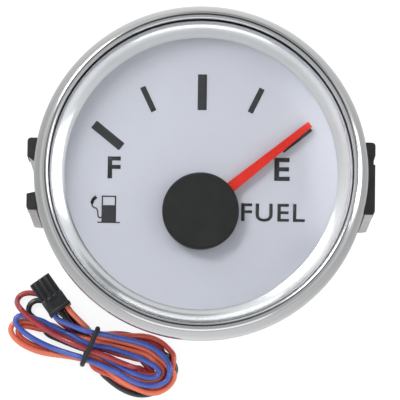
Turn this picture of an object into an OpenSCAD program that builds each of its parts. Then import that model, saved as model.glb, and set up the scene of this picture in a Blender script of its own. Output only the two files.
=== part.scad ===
// Panel fuel gauge with a polished bezel, its clamp bracket and its tied wire harness.
// It lies face up: +Z is the gauge's own axis, +X is the right of the dial, +Y its top.
// z = 0 is the surface that the stud tips, the socket and the harness rest on.

/* [Bezel and lens] */
// Outer diameter of the bezel ring
bezel_d = 62; // [60:0.5:70]
// Wall of the bezel ring at its side
bezel_wall = 0.7; // [0.5:0.05:1]
// Width of the bezel's face, from its window to its side
bezel_face_w = 2.8; // [2.6:0.05:4]
// Thickness of the bezel's front lip
lip_t = 0.8; // [0.6:0.05:1.2]
// Height of the bezel's straight side
skirt_h = 4; // [3:0.1:5]
// Width of the rounding on the lip's inner edge
lip_round = 0.7; // [0.4:0.05:1]
// Thickness of the lip that is crimped behind the flange
crimp_t = 0.5; // [0.4:0.05:0.8]
// How far the crimped lip reaches inwards
crimp_w = 2.2; // [1.5:0.1:3]
// Thickness of the glass
lens_t = 1.6; // [1.2:0.1:2.5]
// How far the lip laps over the glass
lens_lap = 1.2; // [0.8:0.1:1.6]
// Thickness of the rubber seal behind the glass
seal_t = 0.5; // [0.4:0.05:0.8]
// Width of the rubber seal behind the glass
seal_w = 1.5; // [0.8:0.1:1.6]

/* [Dial and scale] */
// Height of the conical inner ring
ring_h = 3.5; // [3:0.1:5]
// Thickness of the inner ring's outer flange
ring_flange_t = 0.9; // [0.6:0.05:1.2]
// Width of the inner ring's slope, from the window to the dial
ring_slope_w = 2.9; // [2:0.1:4]
// Width of the dial's edge under the inner ring
dial_lap = 1.3; // [1:0.1:1.5]
// Thickness of the dial plate
dial_t = 0.8; // [0.5:0.1:1.5]
// Distance of the pointer's axis below the dial's middle
pivot_drop = 7.2; // [5:0.1:9]
// Diameter of the hole for the spindle in the dial
dial_hole_d = 3.2; // [2.4:0.1:5]
// Room between the top mark and the inner ring
mark_room = 6.8; // [5:0.1:9]
// Length of the long marks
long_mark_l = 6.7; // [5:0.1:8]
// Width of the long marks
long_mark_w = 1.7; // [1:0.1:2]
// Length of the short marks
short_mark_l = 5; // [3:0.1:6]
// Width of the short marks
short_mark_w = 1.05; // [0.6:0.05:1.5]
// Thickness of the printed marks
mark_t = 0.06; // [0.04:0.01:0.2]
// Angle of the end marks from straight up
end_mark_a = 51.2; // [40:0.1:60]
// Angle of the quarter marks from straight up
quarter_mark_a = 25.6; // [20:0.1:30]

/* [Pointer] */
// Diameter of the black hub cap
hub_d = 14.2; // [10:0.1:18]
// Height of the hub cap
hub_h = 2.2; // [2:0.1:2.5]
// Wall of the hub cap's skirt
hub_skirt = 0.8; // [0.6:0.05:1.2]
// Thickness of the hub cap's top
hub_top = 1.2; // [0.9:0.05:1.3]
// Gap between the hub cap and the dial
hub_gap = 0.7; // [0.5:0.05:0.9]
// How far the needle's tip reaches past the marks
needle_past = 0.3; // [0:0.1:1]
// Width of the needle at the axis
needle_root_w = 2.3; // [1.6:0.05:3]
// Width of the needle's tip
needle_tip_w = 1.2; // [0.8:0.05:1.6]
// Thickness of the needle
needle_t = 0.7; // [0.4:0.05:0.8]
// Diameter of the needle's boss
needle_boss_d = 6.4; // [4:0.1:8]
// Angle of the needle at rest, clockwise from straight up
rest_a = 50.6; // [45:0.1:60]
// Diameter of the steel spindle
spindle_d = 1.5; // [1:0.1:1.8]

/* [Case] */
// How far the bezel stands out past the barrel
barrel_step = 5.1; // [4.5:0.1:6]
// Length of the barrel from rear cover to bezel
barrel_len = 33; // [32:0.5:45]
// Wall of the barrel
barrel_wall = 1.5; // [1.2:0.1:2]
// Thickness of the shelf that the dial lies on
shelf_t = 0.8; // [0.6:0.05:1.5]
// Thickness of the case's rim beside the inner ring
rim_wall = 0.95; // [0.6:0.05:1]
// Diameter of the screw columns inside the case
column_d = 4.4; // [4:0.1:5]
// Thickness of the rear cover
cover_t = 2.5; // [2:0.1:4]
// Height of the cover's spigot inside the barrel
spigot_h = 2; // [1.8:0.1:3]
// Wall of the cover's spigot
spigot_wall = 2; // [1.6:0.1:2.2]
// Thickness of the rubber gasket behind the bezel
gasket_t = 1; // [0.5:0.1:2]
// How far the gasket stays inside the bezel's edge
gasket_inset = 0.6; // [0.3:0.1:1.5]

/* [Board and lamps] */
// Thickness of the clear light guide behind the dial
guide_t = 1.8; // [1:0.1:2.5]
// Room for the lamps in front of the board
lamp_room = 2; // [1.8:0.1:3]
// Width of the white ring round the lamp room
light_ring_w = 1.8; // [1.2:0.1:2.5]
// Gap between the main circuit board and the barrel's inside
board_gap = 0.4; // [0.2:0.05:1]
// Thickness of both circuit boards
board_t = 1.6; // [1:0.1:2]
// Number of lamps
lamp_count = 6; // [4:1:8]
// Distance of the lamps from the board's edge
lamp_inset = 6.5; // [5.5:0.1:8]
// Width of a lamp
lamp_w = 2.8; // [2:0.1:3.5]
// Width of the control chip
chip_w = 5; // [4:0.1:6]
// Height of the control chip
chip_h = 1.2; // [0.8:0.1:2]
// Diameter of the capacitor
capacitor_d = 5; // [4:0.1:5.5]
// Height of the capacitor
capacitor_h = 7; // [5:0.1:8]
// Length of the small parts on the board
part_l = 2; // [1.6:0.1:2.4]
// Height of the small parts on the board
part_h = 0.7; // [0.5:0.05:1]

/* [Stepper motor] */
// Height of the motor's housing
motor_h = 9.4; // [9.2:0.1:12]
// Width of the motor's housing
motor_w = 24.8; // [24.4:0.1:26]
// Wall of the motor's housing
motor_wall = 0.9; // [0.7:0.05:1.1]
// Thickness of the motor's floor
motor_floor = 0.8; // [0.6:0.05:1]
// Thickness of the motor's cover
motor_cover_t = 1; // [0.8:0.05:1.2]
// Size of a gear tooth, as pitch diameter over number of teeth
tooth_m = 0.3; // [0.29:0.005:0.31]
// Thickness of the output wheel
output_wheel_t = 1; // [0.8:0.05:1.2]
// Thickness of the intermediate wheel
inter_wheel_t = 0.8; // [0.6:0.05:1]
// Diameter of the fixed gear pins
gear_pin_d = 0.8; // [0.6:0.05:0.9]
// Diameter of the rotor's magnet
magnet_d = 5; // [4.5:0.1:5.4]
// Height of the rotor's magnet
magnet_h = 3; // [2.5:0.1:3.2]
// Diameter of the coils
coil_d = 3.8; // [3:0.1:4]
// Length of the coils
coil_len = 9.2; // [8:0.1:9.6]
// Thickness of the stator's iron
core_t = 1.2; // [0.8:0.1:1.4]
// Width of the stator's iron legs
core_w = 1.6; // [1.2:0.1:1.8]

/* [Clamp bracket] */
// Length of the studs behind the rear cover
stud_out = 13; // [13:0.5:25]
// Diameter of the studs
stud_d = 4; // [3:0.5:5]
// Diameter of the lead at each stud's free end
stud_lead_d = 3; // [2.5:0.1:3.4]
// Length of the lead at each stud's free end
stud_lead = 4; // [2:0.5:5]
// Distance of each stud from the barrel's inside
stud_inset = 6.9; // [6.4:0.1:8]
// Width across the flats of the stud's head
stud_head_af = 7; // [6:0.1:8]
// Height of the stud's head
stud_head_h = 2.8; // [2:0.1:4]
// Thickness of the bracket's steel strap
strap_t = 1.5; // [1:0.1:2]
// Width of the strap
strap_w = 13.5; // [11:0.5:16]
// Room between the barrel and the rubber inside the legs
leg_room = 3.6; // [3.5:0.1:8]
// Outer radius of the bracket's bends
bend_r = 3; // [2:0.1:5]
// Gap between the strap and the rear cover at rest
strap_gap = 1; // [0.8:0.1:3]
// Gap between the feet and the panel gasket at rest
foot_gap = 0.8; // [0.8:0.1:3]
// Height of the rubber feet
foot_h = 9; // [6:0.5:12]
// Rubber in front of each leg's end
foot_cap = 1; // [0.6:0.1:2]
// Rubber on the inside of each leg
foot_in = 1.2; // [0.8:0.1:1.6]
// Rubber on the outside of each leg
foot_out = 0.3; // [0.2:0.05:0.6]
// Rounding of the rubber feet's upright corners
foot_round = 0.7; // [0.2:0.1:1]
// Middle of the gap in the left foot, from the gauge's middle line
left_gap_y = -0.7; // [-2:0.1:2]
// Width of the gap in the left foot, at its inner end
left_gap_w = 5.3; // [3:0.1:6.5]
// Middle of the notch in the right foot
right_notch_y = 3.4; // [-4:0.1:4]
// Width of the notch in the right foot
right_notch_w = 1.6; // [1:0.1:3]
// Thickness of the stud washers
washer_t = 0.8; // [0.5:0.1:1.2]
// Diameter of the stud washers
washer_d = 7.6; // [7:0.1:9]
// Diameter of the thumb nuts
nut_d = 9; // [8:0.1:12]
// Height of the thumb nuts
nut_h = 4; // [3:0.1:4.2]

/* [Socket and plug] */
// Width of the plug
plug_w = 4.6; // [4.3:0.1:6]
// Height of the plug
plug_h = 4.6; // [4.3:0.1:6]
// Length of the plug
plug_l = 7.4; // [6:0.1:10]
// Wall of the socket round the plug
socket_wall = 1.4; // [1:0.1:2]
// Depth of the socket
socket_depth = 8.8; // [8.5:0.1:9.5]
// Free play of the plug in the socket
socket_play = 0.15; // [0.1:0.01:0.3]
// Distance of the socket's middle from the barrel's inside
socket_inset = 10.4; // [10:0.1:11]
// Width of the socket's inner flange past its walls
socket_flange = 1.5; // [1:0.1:2]
// Spacing of the contacts across the plug
way_pitch = 1.45; // [1.3:0.05:1.6]
// Spacing of the plug's two rows
row_pitch = 2; // [1.8:0.05:2.2]
// Thickness of a socket pin
pin_w = 0.5; // [0.4:0.05:0.6]
// Free length of the socket pins
pin_out = 4; // [3:0.1:4.3]

/* [Harness] */
// Outer diameter of each wire
wire_d = 1.1; // [0.9:0.05:1.1]
// Height from one wire's layer to the next
layer_step = 1.22; // [1.2:0.01:1.3]
// Step between one wire's own turns at the tie
tie_step = 1.65; // [1.62:0.01:1.75]
// Step between one wire's own turns in the loops
loop_step = 2; // [1.95:0.05:2.2]
// Height of the outermost strand above the hank's middle line at the tie
tie_slot = 2.5; // [2.45:0.05:2.65]
// Thickness of the rubber tie
tie_d = 1; // [0.9:0.1:1.2]
// Width of the rubber tie along the wires
tie_band = 2; // [1:0.1:2.4]

/* [Hidden] */
$fn = 96;

// Clearances between pieces
play = 0.1;
bore_play = 0.05;
fine_play = 0.02;
press_play = 0.15;
eps = 0.01;

// Levels, from the stud tips up to the front
cover_z = stud_out;
case_z = cover_z + cover_t;
bezel_z = case_z + barrel_len;
flange_z = bezel_z + crimp_t;
dial_z = flange_z + shelf_t;
dial_top = dial_z + dial_t;
ring_top = dial_top + ring_h;
lens_z = ring_top + seal_t;
lens_top = lens_z + lens_t;
front_z = lens_top + lip_t;
rim_top = ring_top - ring_flange_t;
guide_z = dial_z - guide_t;
board_top = guide_z - lamp_room;
board_z = board_top - board_t;
motor_z = board_z - motor_h;

// Radii of the front
bezel_r = bezel_d / 2;
open_r = bezel_r - bezel_face_w;
crest_r = open_r + lip_round;
lens_r = open_r + lens_lap;
bezel_in_r = bezel_r - bezel_wall;
case_rim_r = bezel_in_r - press_play;
ring_flange_r = case_rim_r - 2 * play;
dial_open_r = open_r - ring_slope_w;
dial_r = dial_open_r + dial_lap;
ring_wall = 0.6;
barrel_r = bezel_r - barrel_step;
barrel_in_r = barrel_r - barrel_wall;
mark_r = dial_open_r + pivot_drop - mark_room;
needle_l = mark_r + needle_past;
gasket_w = barrel_step - 2 * play - gasket_inset;
board_d = 2 * (barrel_in_r - board_gap);
lamp_ring_r = board_d / 2 - lamp_inset;
stud_x = barrel_in_r - stud_inset;
socket_drop = barrel_in_r - socket_inset;
column_ring_r = barrel_in_r + play - column_d / 2;
column_angles = [90, 210, 330];

// Gear train: teeth and places along the dial's upright
output_teeth = 60;
inter_teeth = 56;
pinion_teeth = 8;
pivot = [0, -pivot_drop];
inter_y = pivot[1] + tooth_m * (output_teeth + pinion_teeth) / 2;
rotor_y = inter_y + tooth_m * (inter_teeth + pinion_teeth) / 2;
tooth_tip = 0.85 * tooth_m;
tooth_root = 1.15 * tooth_m;
core_ring_r = magnet_d / 2 + 0.6;
core_ring_w = core_w;
motor_low_y = pivot[1] - tooth_m * output_teeth / 2 - tooth_tip - 0.4 - motor_wall;
motor_high_y = rotor_y + core_ring_r + core_ring_w + 0.3 + motor_wall;
motor_corner_r = 3;
motor_ceiling = board_z - motor_cover_t;
core_z = motor_z + 2.2;
magnet_z = motor_z + motor_floor + 0.6;
output_wheel_z = motor_z + 4.2;
inter_wheel_z = output_wheel_z + output_wheel_t + 0.8;
coil_x = motor_w / 2 - motor_wall - 0.8 - coil_d / 2;
coil_y = inter_y - 1.1;
coil_z = core_z + core_t / 2;
bearing_d = spindle_d + 2 * bore_play;

// Pointer levels
hub_z = dial_top + hub_gap;
hub_in_z = hub_z + hub_h - hub_top;
needle_z = hub_in_z - needle_t - play;

// Bracket levels at rest
strap_z = cover_z - strap_gap - strap_t;
washer_z = strap_z - washer_t;
nut_z = washer_z - nut_h;
gasket_z = bezel_z - gasket_t;
foot_top = gasket_z - foot_gap;
foot_z = foot_top - foot_h;
leg_top = foot_top - foot_cap;
leg_x = barrel_r + leg_room + foot_in;
bracket_w = 2 * (leg_x + strap_t);

// Socket
cavity_w = plug_w + 2 * socket_play;
cavity_h = plug_h + 2 * socket_play;
socket_w = cavity_w + 2 * socket_wall;
socket_h = cavity_h + 2 * socket_wall;
socket_flange_t = 1;
socket_board_z = case_z + socket_flange_t;
socket_board_w = 16;
socket_board_h = 13;
socket_screw_x = 6.6;
socket_screw_y = -socket_drop + 4.6;
ways = 3;

// The hank lies beside the gauge: its middle, at the tie, and its direction
hank_middle = [-21.24, -29.12, 0];
hank_a = -14.94;
hank_lift = layer_step;
// The lowest wire climbs this many layers where it crosses over the other wires
over_layers = 5;
tie_half_w = tie_slot + wire_d / 2 + tie_d / 2 + 0.2;
tie_low_z = tie_d / 2;
// The tie lies a little askew across the hank
tie_turn = -8;
tie_high_z = wire_d / 2 + hank_lift + over_layers * layer_step + wire_d / 2 + tie_d / 2 + 0.05;

// The plug rests on the two lowest wires: the middle of its rear face, and its direction
plug_z = wire_d + layer_step + 0.05;
plug_rear = [-7.3, 5.1];
plug_a = -39;

// Wires: layer, reach to the right and left of the tie, size of the right loop's upper and
// lower side, size of the left loop's lower and upper side, rise of the right and of the
// left loop's end, whether the second turn lies inside or outside the first, and how much
// narrower the right loop's inner turn is on its upper and its lower side and at its end
crimson_loops = [0, 17, 17.6, 6.2, 5.8, 3, 6.6, -1, 4, "winds out", 2.6, 4.4, 4];
black_loops = [1, 17.7, 15.6, 5.6, 6.5, 2.8, 6.8, -1, 3.4, "winds out", 2.2, 2.2, 2];
salmon_loops = [2, 17.2, 16.5, 6.8, 6.2, 4.2, 3.5, -0.9, 0, "winds in", 4.6, 2.4, 2];
orange_loops = [3, 17.9, 18, 4.7, 6.2, 4.6, 4.2, -1.2, 0, "winds in", 2.2, 2, 2];
blue_loops = [4, 17.4, 17.5, 5.2, 5.3, 3.6, 3.2, -1, 1.8, "winds in", 3.6, 2, 2];

// A ring of rectangular section, standing on z = 0
module tube(outer_r, inner_r, height) {
    difference() {
        cylinder(r = outer_r, h = height);
        translate([0, 0, -1])
            cylinder(r = inner_r, h = height + 2);
    }
}

// A flat rectangle with round corners, about its middle
module round_rect(width, height, radius) {
    square([width - 2 * radius, height], center = true);
    square([width, height - 2 * radius], center = true);
    for (x = [-1, 1], y = [-1, 1])
        translate([x * (width / 2 - radius), y * (height / 2 - radius)])
            circle(r = radius, $fn = 48);
}

// Corners of one gear's outline: four for each tooth, the first tooth at the start angle
function gear_points(teeth, start) =
    let (pitch_r = tooth_m * teeth / 2, step = 360 / teeth)
    [for (i = [0 : teeth - 1], k = [0 : 3])
        let (
            at_tip = k == 1 || k == 2,
            side = k < 2 ? -1 : 1,
            r = at_tip ? pitch_r + tooth_tip : pitch_r - tooth_root,
            a = start + step * i + side * step * (at_tip ? 0.1 : 0.27)
        )
        [r * cos(a), r * sin(a)]];

// A plain spur gear with a round bore
module gear(teeth, start, thickness, bore_r) {
    difference() {
        linear_extrude(height = thickness)
            polygon(gear_points(teeth, start));
        translate([0, 0, -1])
            cylinder(r = bore_r, h = thickness + 2, $fn = 48);
    }
}

// A screw with a round head on top and its shank pointing down
module screw(head_r, head_h, shank_r, shank_l) {
    difference() {
        cylinder(r = head_r, h = head_h, $fn = 48);
        for (a = [0, 90])
            rotate(a)
                translate([-head_r * 0.6, -0.2, head_h - 0.5])
                    cube([head_r * 1.2, 0.4, 1]);
    }
    translate([0, 0, -shank_l])
        cylinder(r = shank_r, h = shank_l + eps, $fn = 48);
}

// Places its children on the three screw columns
module at_columns() {
    for (a = column_angles)
        rotate(a)
            translate([column_ring_r, 0, 0])
                rotate(-a)
                    children();
}

// Points of the bezel's rounded shoulder, from its side up to its crest
function shoulder(steps) =
    [for (i = [0 : steps])
        let (a = 90 * i / steps)
        [crest_r + (bezel_r - crest_r) * cos(a),
            bezel_z + skirt_h + (front_z - bezel_z - skirt_h) * sin(a)]];

// Points of the rounding on the lip's inner edge, from the crest inwards
function lip_edge(steps) =
    [for (i = [1 : steps])
        let (a = 90 * i / steps)
        [crest_r - lip_round * sin(a), front_z - lip_t * 0.6 * (1 - cos(a))]];

module bezel() {
    color([0.82, 0.83, 0.84])
        rotate_extrude()
            polygon(concat(
                [[bezel_r - crimp_w, bezel_z], [bezel_r, bezel_z]],
                shoulder(10),
                lip_edge(4),
                [[open_r, lens_top], [lens_r + press_play, lens_top],
                    [lens_r + press_play, lens_z], [bezel_in_r, ring_top + 2 * play],
                    [bezel_in_r, flange_z], [bezel_r - crimp_w, flange_z]]
            ));
}

module lens() {
    color([0.85, 0.9, 0.92, 0.3])
        translate([0, 0, lens_z])
            cylinder(r = lens_r, h = lens_t);
}

module lens_seal() {
    color([0.1, 0.1, 0.1])
        translate([0, 0, ring_top])
            tube(lens_r, lens_r - seal_w + play, seal_t);
}

module inner_ring() {
    color([0.9, 0.91, 0.92])
        rotate_extrude()
            polygon([
                [dial_open_r, dial_top],
                [open_r + play, ring_top],
                [ring_flange_r, ring_top],
                [ring_flange_r, rim_top],
                [open_r + ring_wall, rim_top],
                [dial_r, dial_top]
            ]);
}

module dial_plate() {
    color([0.8, 0.82, 0.87])
        difference() {
            translate([0, 0, dial_z])
                cylinder(r = dial_r, h = dial_t);
            translate([pivot[0], pivot[1], dial_z - 1])
                cylinder(d = dial_hole_d, h = dial_t + 2);
        }
}

// One printed mark of the scale, at its angle clockwise from straight up
module mark(angle, length, width) {
    translate([pivot[0], pivot[1], dial_top])
        rotate(-angle)
            translate([-width / 2, mark_r - length, 0])
                cube([width, length, mark_t]);
}

module scale_marks() {
    color([0.22, 0.23, 0.25]) {
        for (a = [-end_mark_a, 0, end_mark_a])
            mark(a, long_mark_l, long_mark_w);
        for (a = [-quarter_mark_a, quarter_mark_a])
            mark(a, short_mark_l, short_mark_w);
    }
}

module light_guide() {
    color([0.9, 0.95, 0.98, 0.6])
        difference() {
            translate([0, 0, guide_z])
                cylinder(r = barrel_in_r - 2 * play, h = guide_t);
            translate([pivot[0], pivot[1], guide_z - 1])
                cylinder(d = dial_hole_d + 1, h = guide_t + 2);
        }
}

module light_ring() {
    color([0.95, 0.95, 0.95])
        difference() {
            translate([0, 0, board_top])
                tube(board_d / 2, board_d / 2 - light_ring_w, lamp_room);
            at_columns()
                translate([0, 0, board_top - 1])
                    cylinder(r = board_screw_head_r + 0.4, h = lamp_room + 2);
        }
}

module needle() {
    color([0.86, 0.12, 0.1])
        translate([pivot[0], pivot[1], needle_z])
            difference() {
                union() {
                    cylinder(d = needle_boss_d, h = hub_in_z - needle_z);
                    rotate(-rest_a)
                        linear_extrude(height = needle_t)
                            polygon([
                                [-needle_root_w / 2, 0],
                                [needle_root_w / 2, 0],
                                [needle_tip_w / 2, needle_l],
                                [-needle_tip_w / 2, needle_l]
                            ]);
                }
                translate([0, 0, -1])
                    cylinder(d = spindle_d + 2 * fine_play, h = hub_in_z - needle_z + 2);
            }
}

module hub_cap() {
    color([0.09, 0.09, 0.1])
        translate([pivot[0], pivot[1], hub_z])
            difference() {
                rotate_extrude()
                    polygon([
                        [0, hub_in_z - hub_z],
                        [hub_d / 2 - hub_skirt, hub_in_z - hub_z],
                        [hub_d / 2 - hub_skirt, 0],
                        [hub_d / 2, 0],
                        [hub_d / 2, hub_h - 0.3],
                        [hub_d / 2 - 0.3, hub_h],
                        [0, hub_h]
                    ]);
                rotate(-rest_a)
                    translate([-needle_root_w / 2 - play, 0, -1])
                        cube([needle_root_w + 2 * play, hub_d, hub_in_z - hub_z + 1]);
            }
}

module spindle() {
    color([0.75, 0.76, 0.78])
        translate([pivot[0], pivot[1], motor_z + motor_floor + 0.4])
            cylinder(d = spindle_d, h = hub_in_z - motor_z - motor_floor - 0.4);
}

module output_wheel() {
    color([0.93, 0.93, 0.9])
        translate([pivot[0], pivot[1], output_wheel_z]) {
            gear(output_teeth, 90, output_wheel_t, spindle_d / 2 + fine_play);
            tube(2.2, spindle_d / 2 + fine_play, output_wheel_t + 0.5);
        }
}

module intermediate_wheel() {
    color([0.93, 0.93, 0.9])
        translate([0, inter_y, output_wheel_z - 0.2]) {
            gear(pinion_teeth, -90 + 180 / pinion_teeth,
                inter_wheel_z - output_wheel_z + 0.2 + eps, gear_pin_d / 2 + bore_play);
            translate([0, 0, inter_wheel_z - output_wheel_z + 0.2])
                gear(inter_teeth, 90, inter_wheel_t, gear_pin_d / 2 + bore_play);
        }
}

module rotor_pinion() {
    color([0.2, 0.2, 0.22])
        translate([0, rotor_y, magnet_z + magnet_h])
            gear(pinion_teeth, -90 + 180 / pinion_teeth,
                inter_wheel_z + inter_wheel_t + 0.2 - magnet_z - magnet_h,
                gear_pin_d / 2 + bore_play);
}

module rotor_magnet() {
    color([0.25, 0.25, 0.27])
        translate([0, rotor_y, magnet_z])
            tube(magnet_d / 2, gear_pin_d / 2 + bore_play, magnet_h);
}

module gear_pins() {
    color([0.75, 0.76, 0.78])
        for (y = [inter_y, rotor_y])
            translate([0, y, motor_z + 0.3])
                cylinder(d = gear_pin_d, h = motor_h - 0.3 - 0.3, $fn = 48);
}

module motor_outline(inset) {
    translate([0, (motor_low_y + motor_high_y) / 2])
        round_rect(motor_w - 2 * inset, motor_high_y - motor_low_y - 2 * inset,
            motor_corner_r - inset);
}

module motor_base() {
    color([0.13, 0.13, 0.14])
        difference() {
            union() {
                difference() {
                    translate([0, 0, motor_z])
                        linear_extrude(height = motor_ceiling - motor_z)
                            motor_outline(0);
                    translate([0, 0, motor_z + motor_floor])
                        linear_extrude(height = motor_h)
                            motor_outline(motor_wall);
                }
                translate([pivot[0], pivot[1], motor_z])
                    cylinder(r = 1.8, h = output_wheel_z - motor_z - 0.1);
                translate([0, inter_y, motor_z])
                    cylinder(r = 1.2, h = output_wheel_z - motor_z - 0.3);
                translate([0, rotor_y, motor_z])
                    cylinder(r = 1, h = magnet_z - motor_z - 0.1);
            }
            translate([pivot[0], pivot[1], motor_z + motor_floor])
                cylinder(d = bearing_d, h = motor_h);
            for (y = [inter_y, rotor_y])
                translate([0, y, motor_z + 0.3])
                    cylinder(d = gear_pin_d + 2 * fine_play, h = motor_h, $fn = 48);
        }
}

module motor_cover() {
    color([0.13, 0.13, 0.14])
        difference() {
            union() {
                translate([0, 0, motor_ceiling])
                    linear_extrude(height = motor_cover_t)
                        motor_outline(0);
                translate([pivot[0], pivot[1], motor_ceiling])
                    cylinder(r = 2, h = motor_cover_t + board_t);
            }
            translate([pivot[0], pivot[1], motor_ceiling - 1])
                cylinder(d = bearing_d, h = motor_h);
            for (y = [inter_y, rotor_y])
                translate([0, y, motor_ceiling - 1])
                    cylinder(d = gear_pin_d + 2 * fine_play, h = motor_h, $fn = 48);
            at_motor_pins()
                translate([0, 0, motor_ceiling - 1])
                    cylinder(r = motor_pin_r + fine_play, h = motor_h, $fn = 32);
        }
}

motor_pin_r = 0.35;

module at_motor_pins() {
    for (x = [-1, 1], y = [motor_low_y + 2.6, coil_y + coil_len + 1.4])
        translate([x * (motor_w / 2 - 2.1), y, 0])
            children();
}

module stator_core() {
    color([0.55, 0.56, 0.58])
        translate([0, 0, core_z])
            linear_extrude(height = core_t)
                difference() {
                    union() {
                        translate([0, rotor_y])
                            circle(r = core_ring_r + core_ring_w);
                        translate([-coil_x - core_w / 2, rotor_y - core_w / 2])
                            square([2 * coil_x + core_w, core_w]);
                        for (x = [-coil_x, coil_x])
                            translate([x - core_w / 2, coil_y - 0.7 - core_w])
                                square([core_w, rotor_y - coil_y + 0.7 + core_w]);
                        translate([-coil_x, coil_y - 0.7 - core_w])
                            square([2 * coil_x, core_w]);
                    }
                    translate([0, rotor_y])
                        circle(r = core_ring_r);
                }
}

// A coil wound on a flanged bobbin round one leg of the iron
module coil(x) {
    translate([x, coil_y, coil_z])
        rotate([-90, 0, 0])
            difference() {
                union() {
                    cylinder(d = coil_d - 0.4, h = coil_len);
                    cylinder(d = coil_d, h = 0.7);
                    translate([0, 0, coil_len - 0.7])
                        cylinder(d = coil_d, h = 0.7);
                }
                translate([-core_w / 2 - play, -core_t / 2 - play, -1])
                    cube([core_w + 2 * play, core_t + 2 * play, coil_len + 2]);
            }
}

module left_coil() {
    color([0.72, 0.35, 0.15])
        coil(-coil_x);
}

module right_coil() {
    color([0.72, 0.35, 0.15])
        coil(coil_x);
}

module motor_pins() {
    color([0.8, 0.75, 0.5])
        at_motor_pins()
            translate([0, 0, motor_ceiling - 1.2])
                cylinder(r = motor_pin_r, h = motor_cover_t + board_t + 2, $fn = 32);
}

board_screw_head_r = 1.8;
board_screw_r = 0.75;

module circuit_board() {
    color([0.05, 0.35, 0.18])
        difference() {
            translate([0, 0, board_z])
                cylinder(d = board_d, h = board_t);
            translate([pivot[0], pivot[1], board_z - 1])
                cylinder(r = 2 + play, h = board_t + 2);
            at_columns()
                translate([0, 0, board_z - 1])
                    cylinder(r = board_screw_r + 0.2, h = board_t + 2, $fn = 48);
            at_motor_pins()
                translate([0, 0, board_z - 1])
                    cylinder(r = motor_pin_r + fine_play, h = board_t + 2, $fn = 32);
        }
}

module control_chip() {
    color([0.1, 0.1, 0.1])
        translate([-motor_w / 2 - 1.8 - chip_w, 1.5, board_z - chip_h])
            cube([chip_w, chip_w, chip_h]);
}

module capacitor() {
    color([0.1, 0.15, 0.3])
        translate([motor_w / 2 + 1.8 + capacitor_d / 2, 6, board_z - capacitor_h])
            cylinder(d = capacitor_d, h = capacitor_h);
}

module small_parts() {
    color([0.15, 0.15, 0.15])
        for (x = [-1, 1], i = [0 : 3])
            translate([x * (motor_w / 2 + 1.8 + part_l) - part_l / 2,
                (i - 3) * part_l * 0.95, board_z - part_h])
                cube([part_l, part_l * 0.6, part_h]);
}

module lamps() {
    color([0.98, 0.95, 0.75])
        for (i = [0 : lamp_count - 1])
            rotate(30 + 360 * i / lamp_count)
                translate([lamp_ring_r - lamp_w / 2, -lamp_w * 0.6, board_top])
                    cube([lamp_w, lamp_w * 1.2, lamp_room * 0.65]);
}

module board_screws() {
    color([0.7, 0.7, 0.72])
        at_columns()
            translate([0, 0, board_top])
                screw(board_screw_head_r, 1.3, board_screw_r, 7);
}

cover_screw_r = 1;

module case() {
    color([0.08, 0.08, 0.09])
        difference() {
            union() {
                rotate_extrude()
                    polygon([
                        [barrel_in_r, case_z],
                        [barrel_r, case_z],
                        [barrel_r, flange_z],
                        [case_rim_r, flange_z],
                        [case_rim_r, rim_top],
                        [case_rim_r - rim_wall, rim_top],
                        [dial_r + 4 * play, dial_top + 0.4],
                        [dial_r + 4 * play, dial_z],
                        [barrel_in_r, dial_z]
                    ]);
                intersection() {
                    at_columns()
                        translate([0, 0, case_z + spigot_h + play])
                            cylinder(d = column_d, h = board_z - case_z - spigot_h - play);
                    cylinder(r = barrel_in_r + barrel_wall / 2, h = front_z);
                }
            }
            at_columns() {
                translate([0, 0, board_z - 7])
                    cylinder(r = board_screw_r + bore_play, h = 8, $fn = 48);
                translate([0, 0, case_z])
                    cylinder(r = cover_screw_r + bore_play, h = 11, $fn = 48);
            }
        }
}

module panel_gasket() {
    color([0.12, 0.12, 0.12])
        translate([0, 0, gasket_z])
            tube(barrel_r + 2 * play + gasket_w, barrel_r + 2 * play, gasket_t);
}

seal_groove = 0.6;
seal_groove_z = 0.35;
seal_cord_r = 0.36;

module rear_cover() {
    color([0.08, 0.08, 0.09])
        difference() {
            union() {
                translate([0, 0, cover_z])
                    cylinder(r = barrel_r, h = cover_t);
                translate([0, 0, case_z])
                    tube(barrel_in_r - 2 * play, barrel_in_r - spigot_wall, spigot_h);
                intersection() {
                    at_columns()
                        translate([0, 0, case_z])
                            cylinder(d = column_d, h = spigot_h);
                    cylinder(r = barrel_in_r - 2 * play, h = front_z);
                }
                for (x = [-socket_screw_x, socket_screw_x])
                    translate([x, socket_screw_y, case_z])
                        cylinder(r = 1.2, h = socket_flange_t, $fn = 48);
            }
            translate([0, 0, case_z + seal_groove_z])
                tube(barrel_r, barrel_in_r - 2 * play - seal_groove, spigot_h - 2 * seal_groove_z);
            at_columns()
                translate([0, 0, cover_z - 1])
                    cylinder(r = cover_screw_r + bore_play, h = cover_t + spigot_h + 2, $fn = 48);
            for (x = [-stud_x, stud_x])
                translate([x, 0, cover_z - 1])
                    cylinder(d = stud_d + 2 * bore_play, h = cover_t + 2);
            translate([-socket_w / 2 - play, -socket_drop - socket_h / 2 - play, cover_z - 1])
                cube([socket_w + 2 * play, socket_h + 2 * play, cover_t + 2]);
            for (x = [-socket_screw_x, socket_screw_x])
                translate([x, socket_screw_y, case_z - 1.4])
                    cylinder(r = 0.6 + fine_play, h = 4, $fn = 32);
        }
}

module cover_seal() {
    color([0.12, 0.12, 0.12])
        translate([0, 0, case_z + spigot_h / 2])
            rotate_extrude()
                translate([barrel_in_r - 2 * play - seal_groove + seal_cord_r + 0.03, 0])
                    circle(r = seal_cord_r, $fn = 32);
}

module cover_screws() {
    color([0.7, 0.7, 0.72])
        at_columns()
            translate([0, 0, cover_z])
                mirror([0, 0, 1])
                    screw(1.9, 1.4, cover_screw_r, 11);
}

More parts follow.
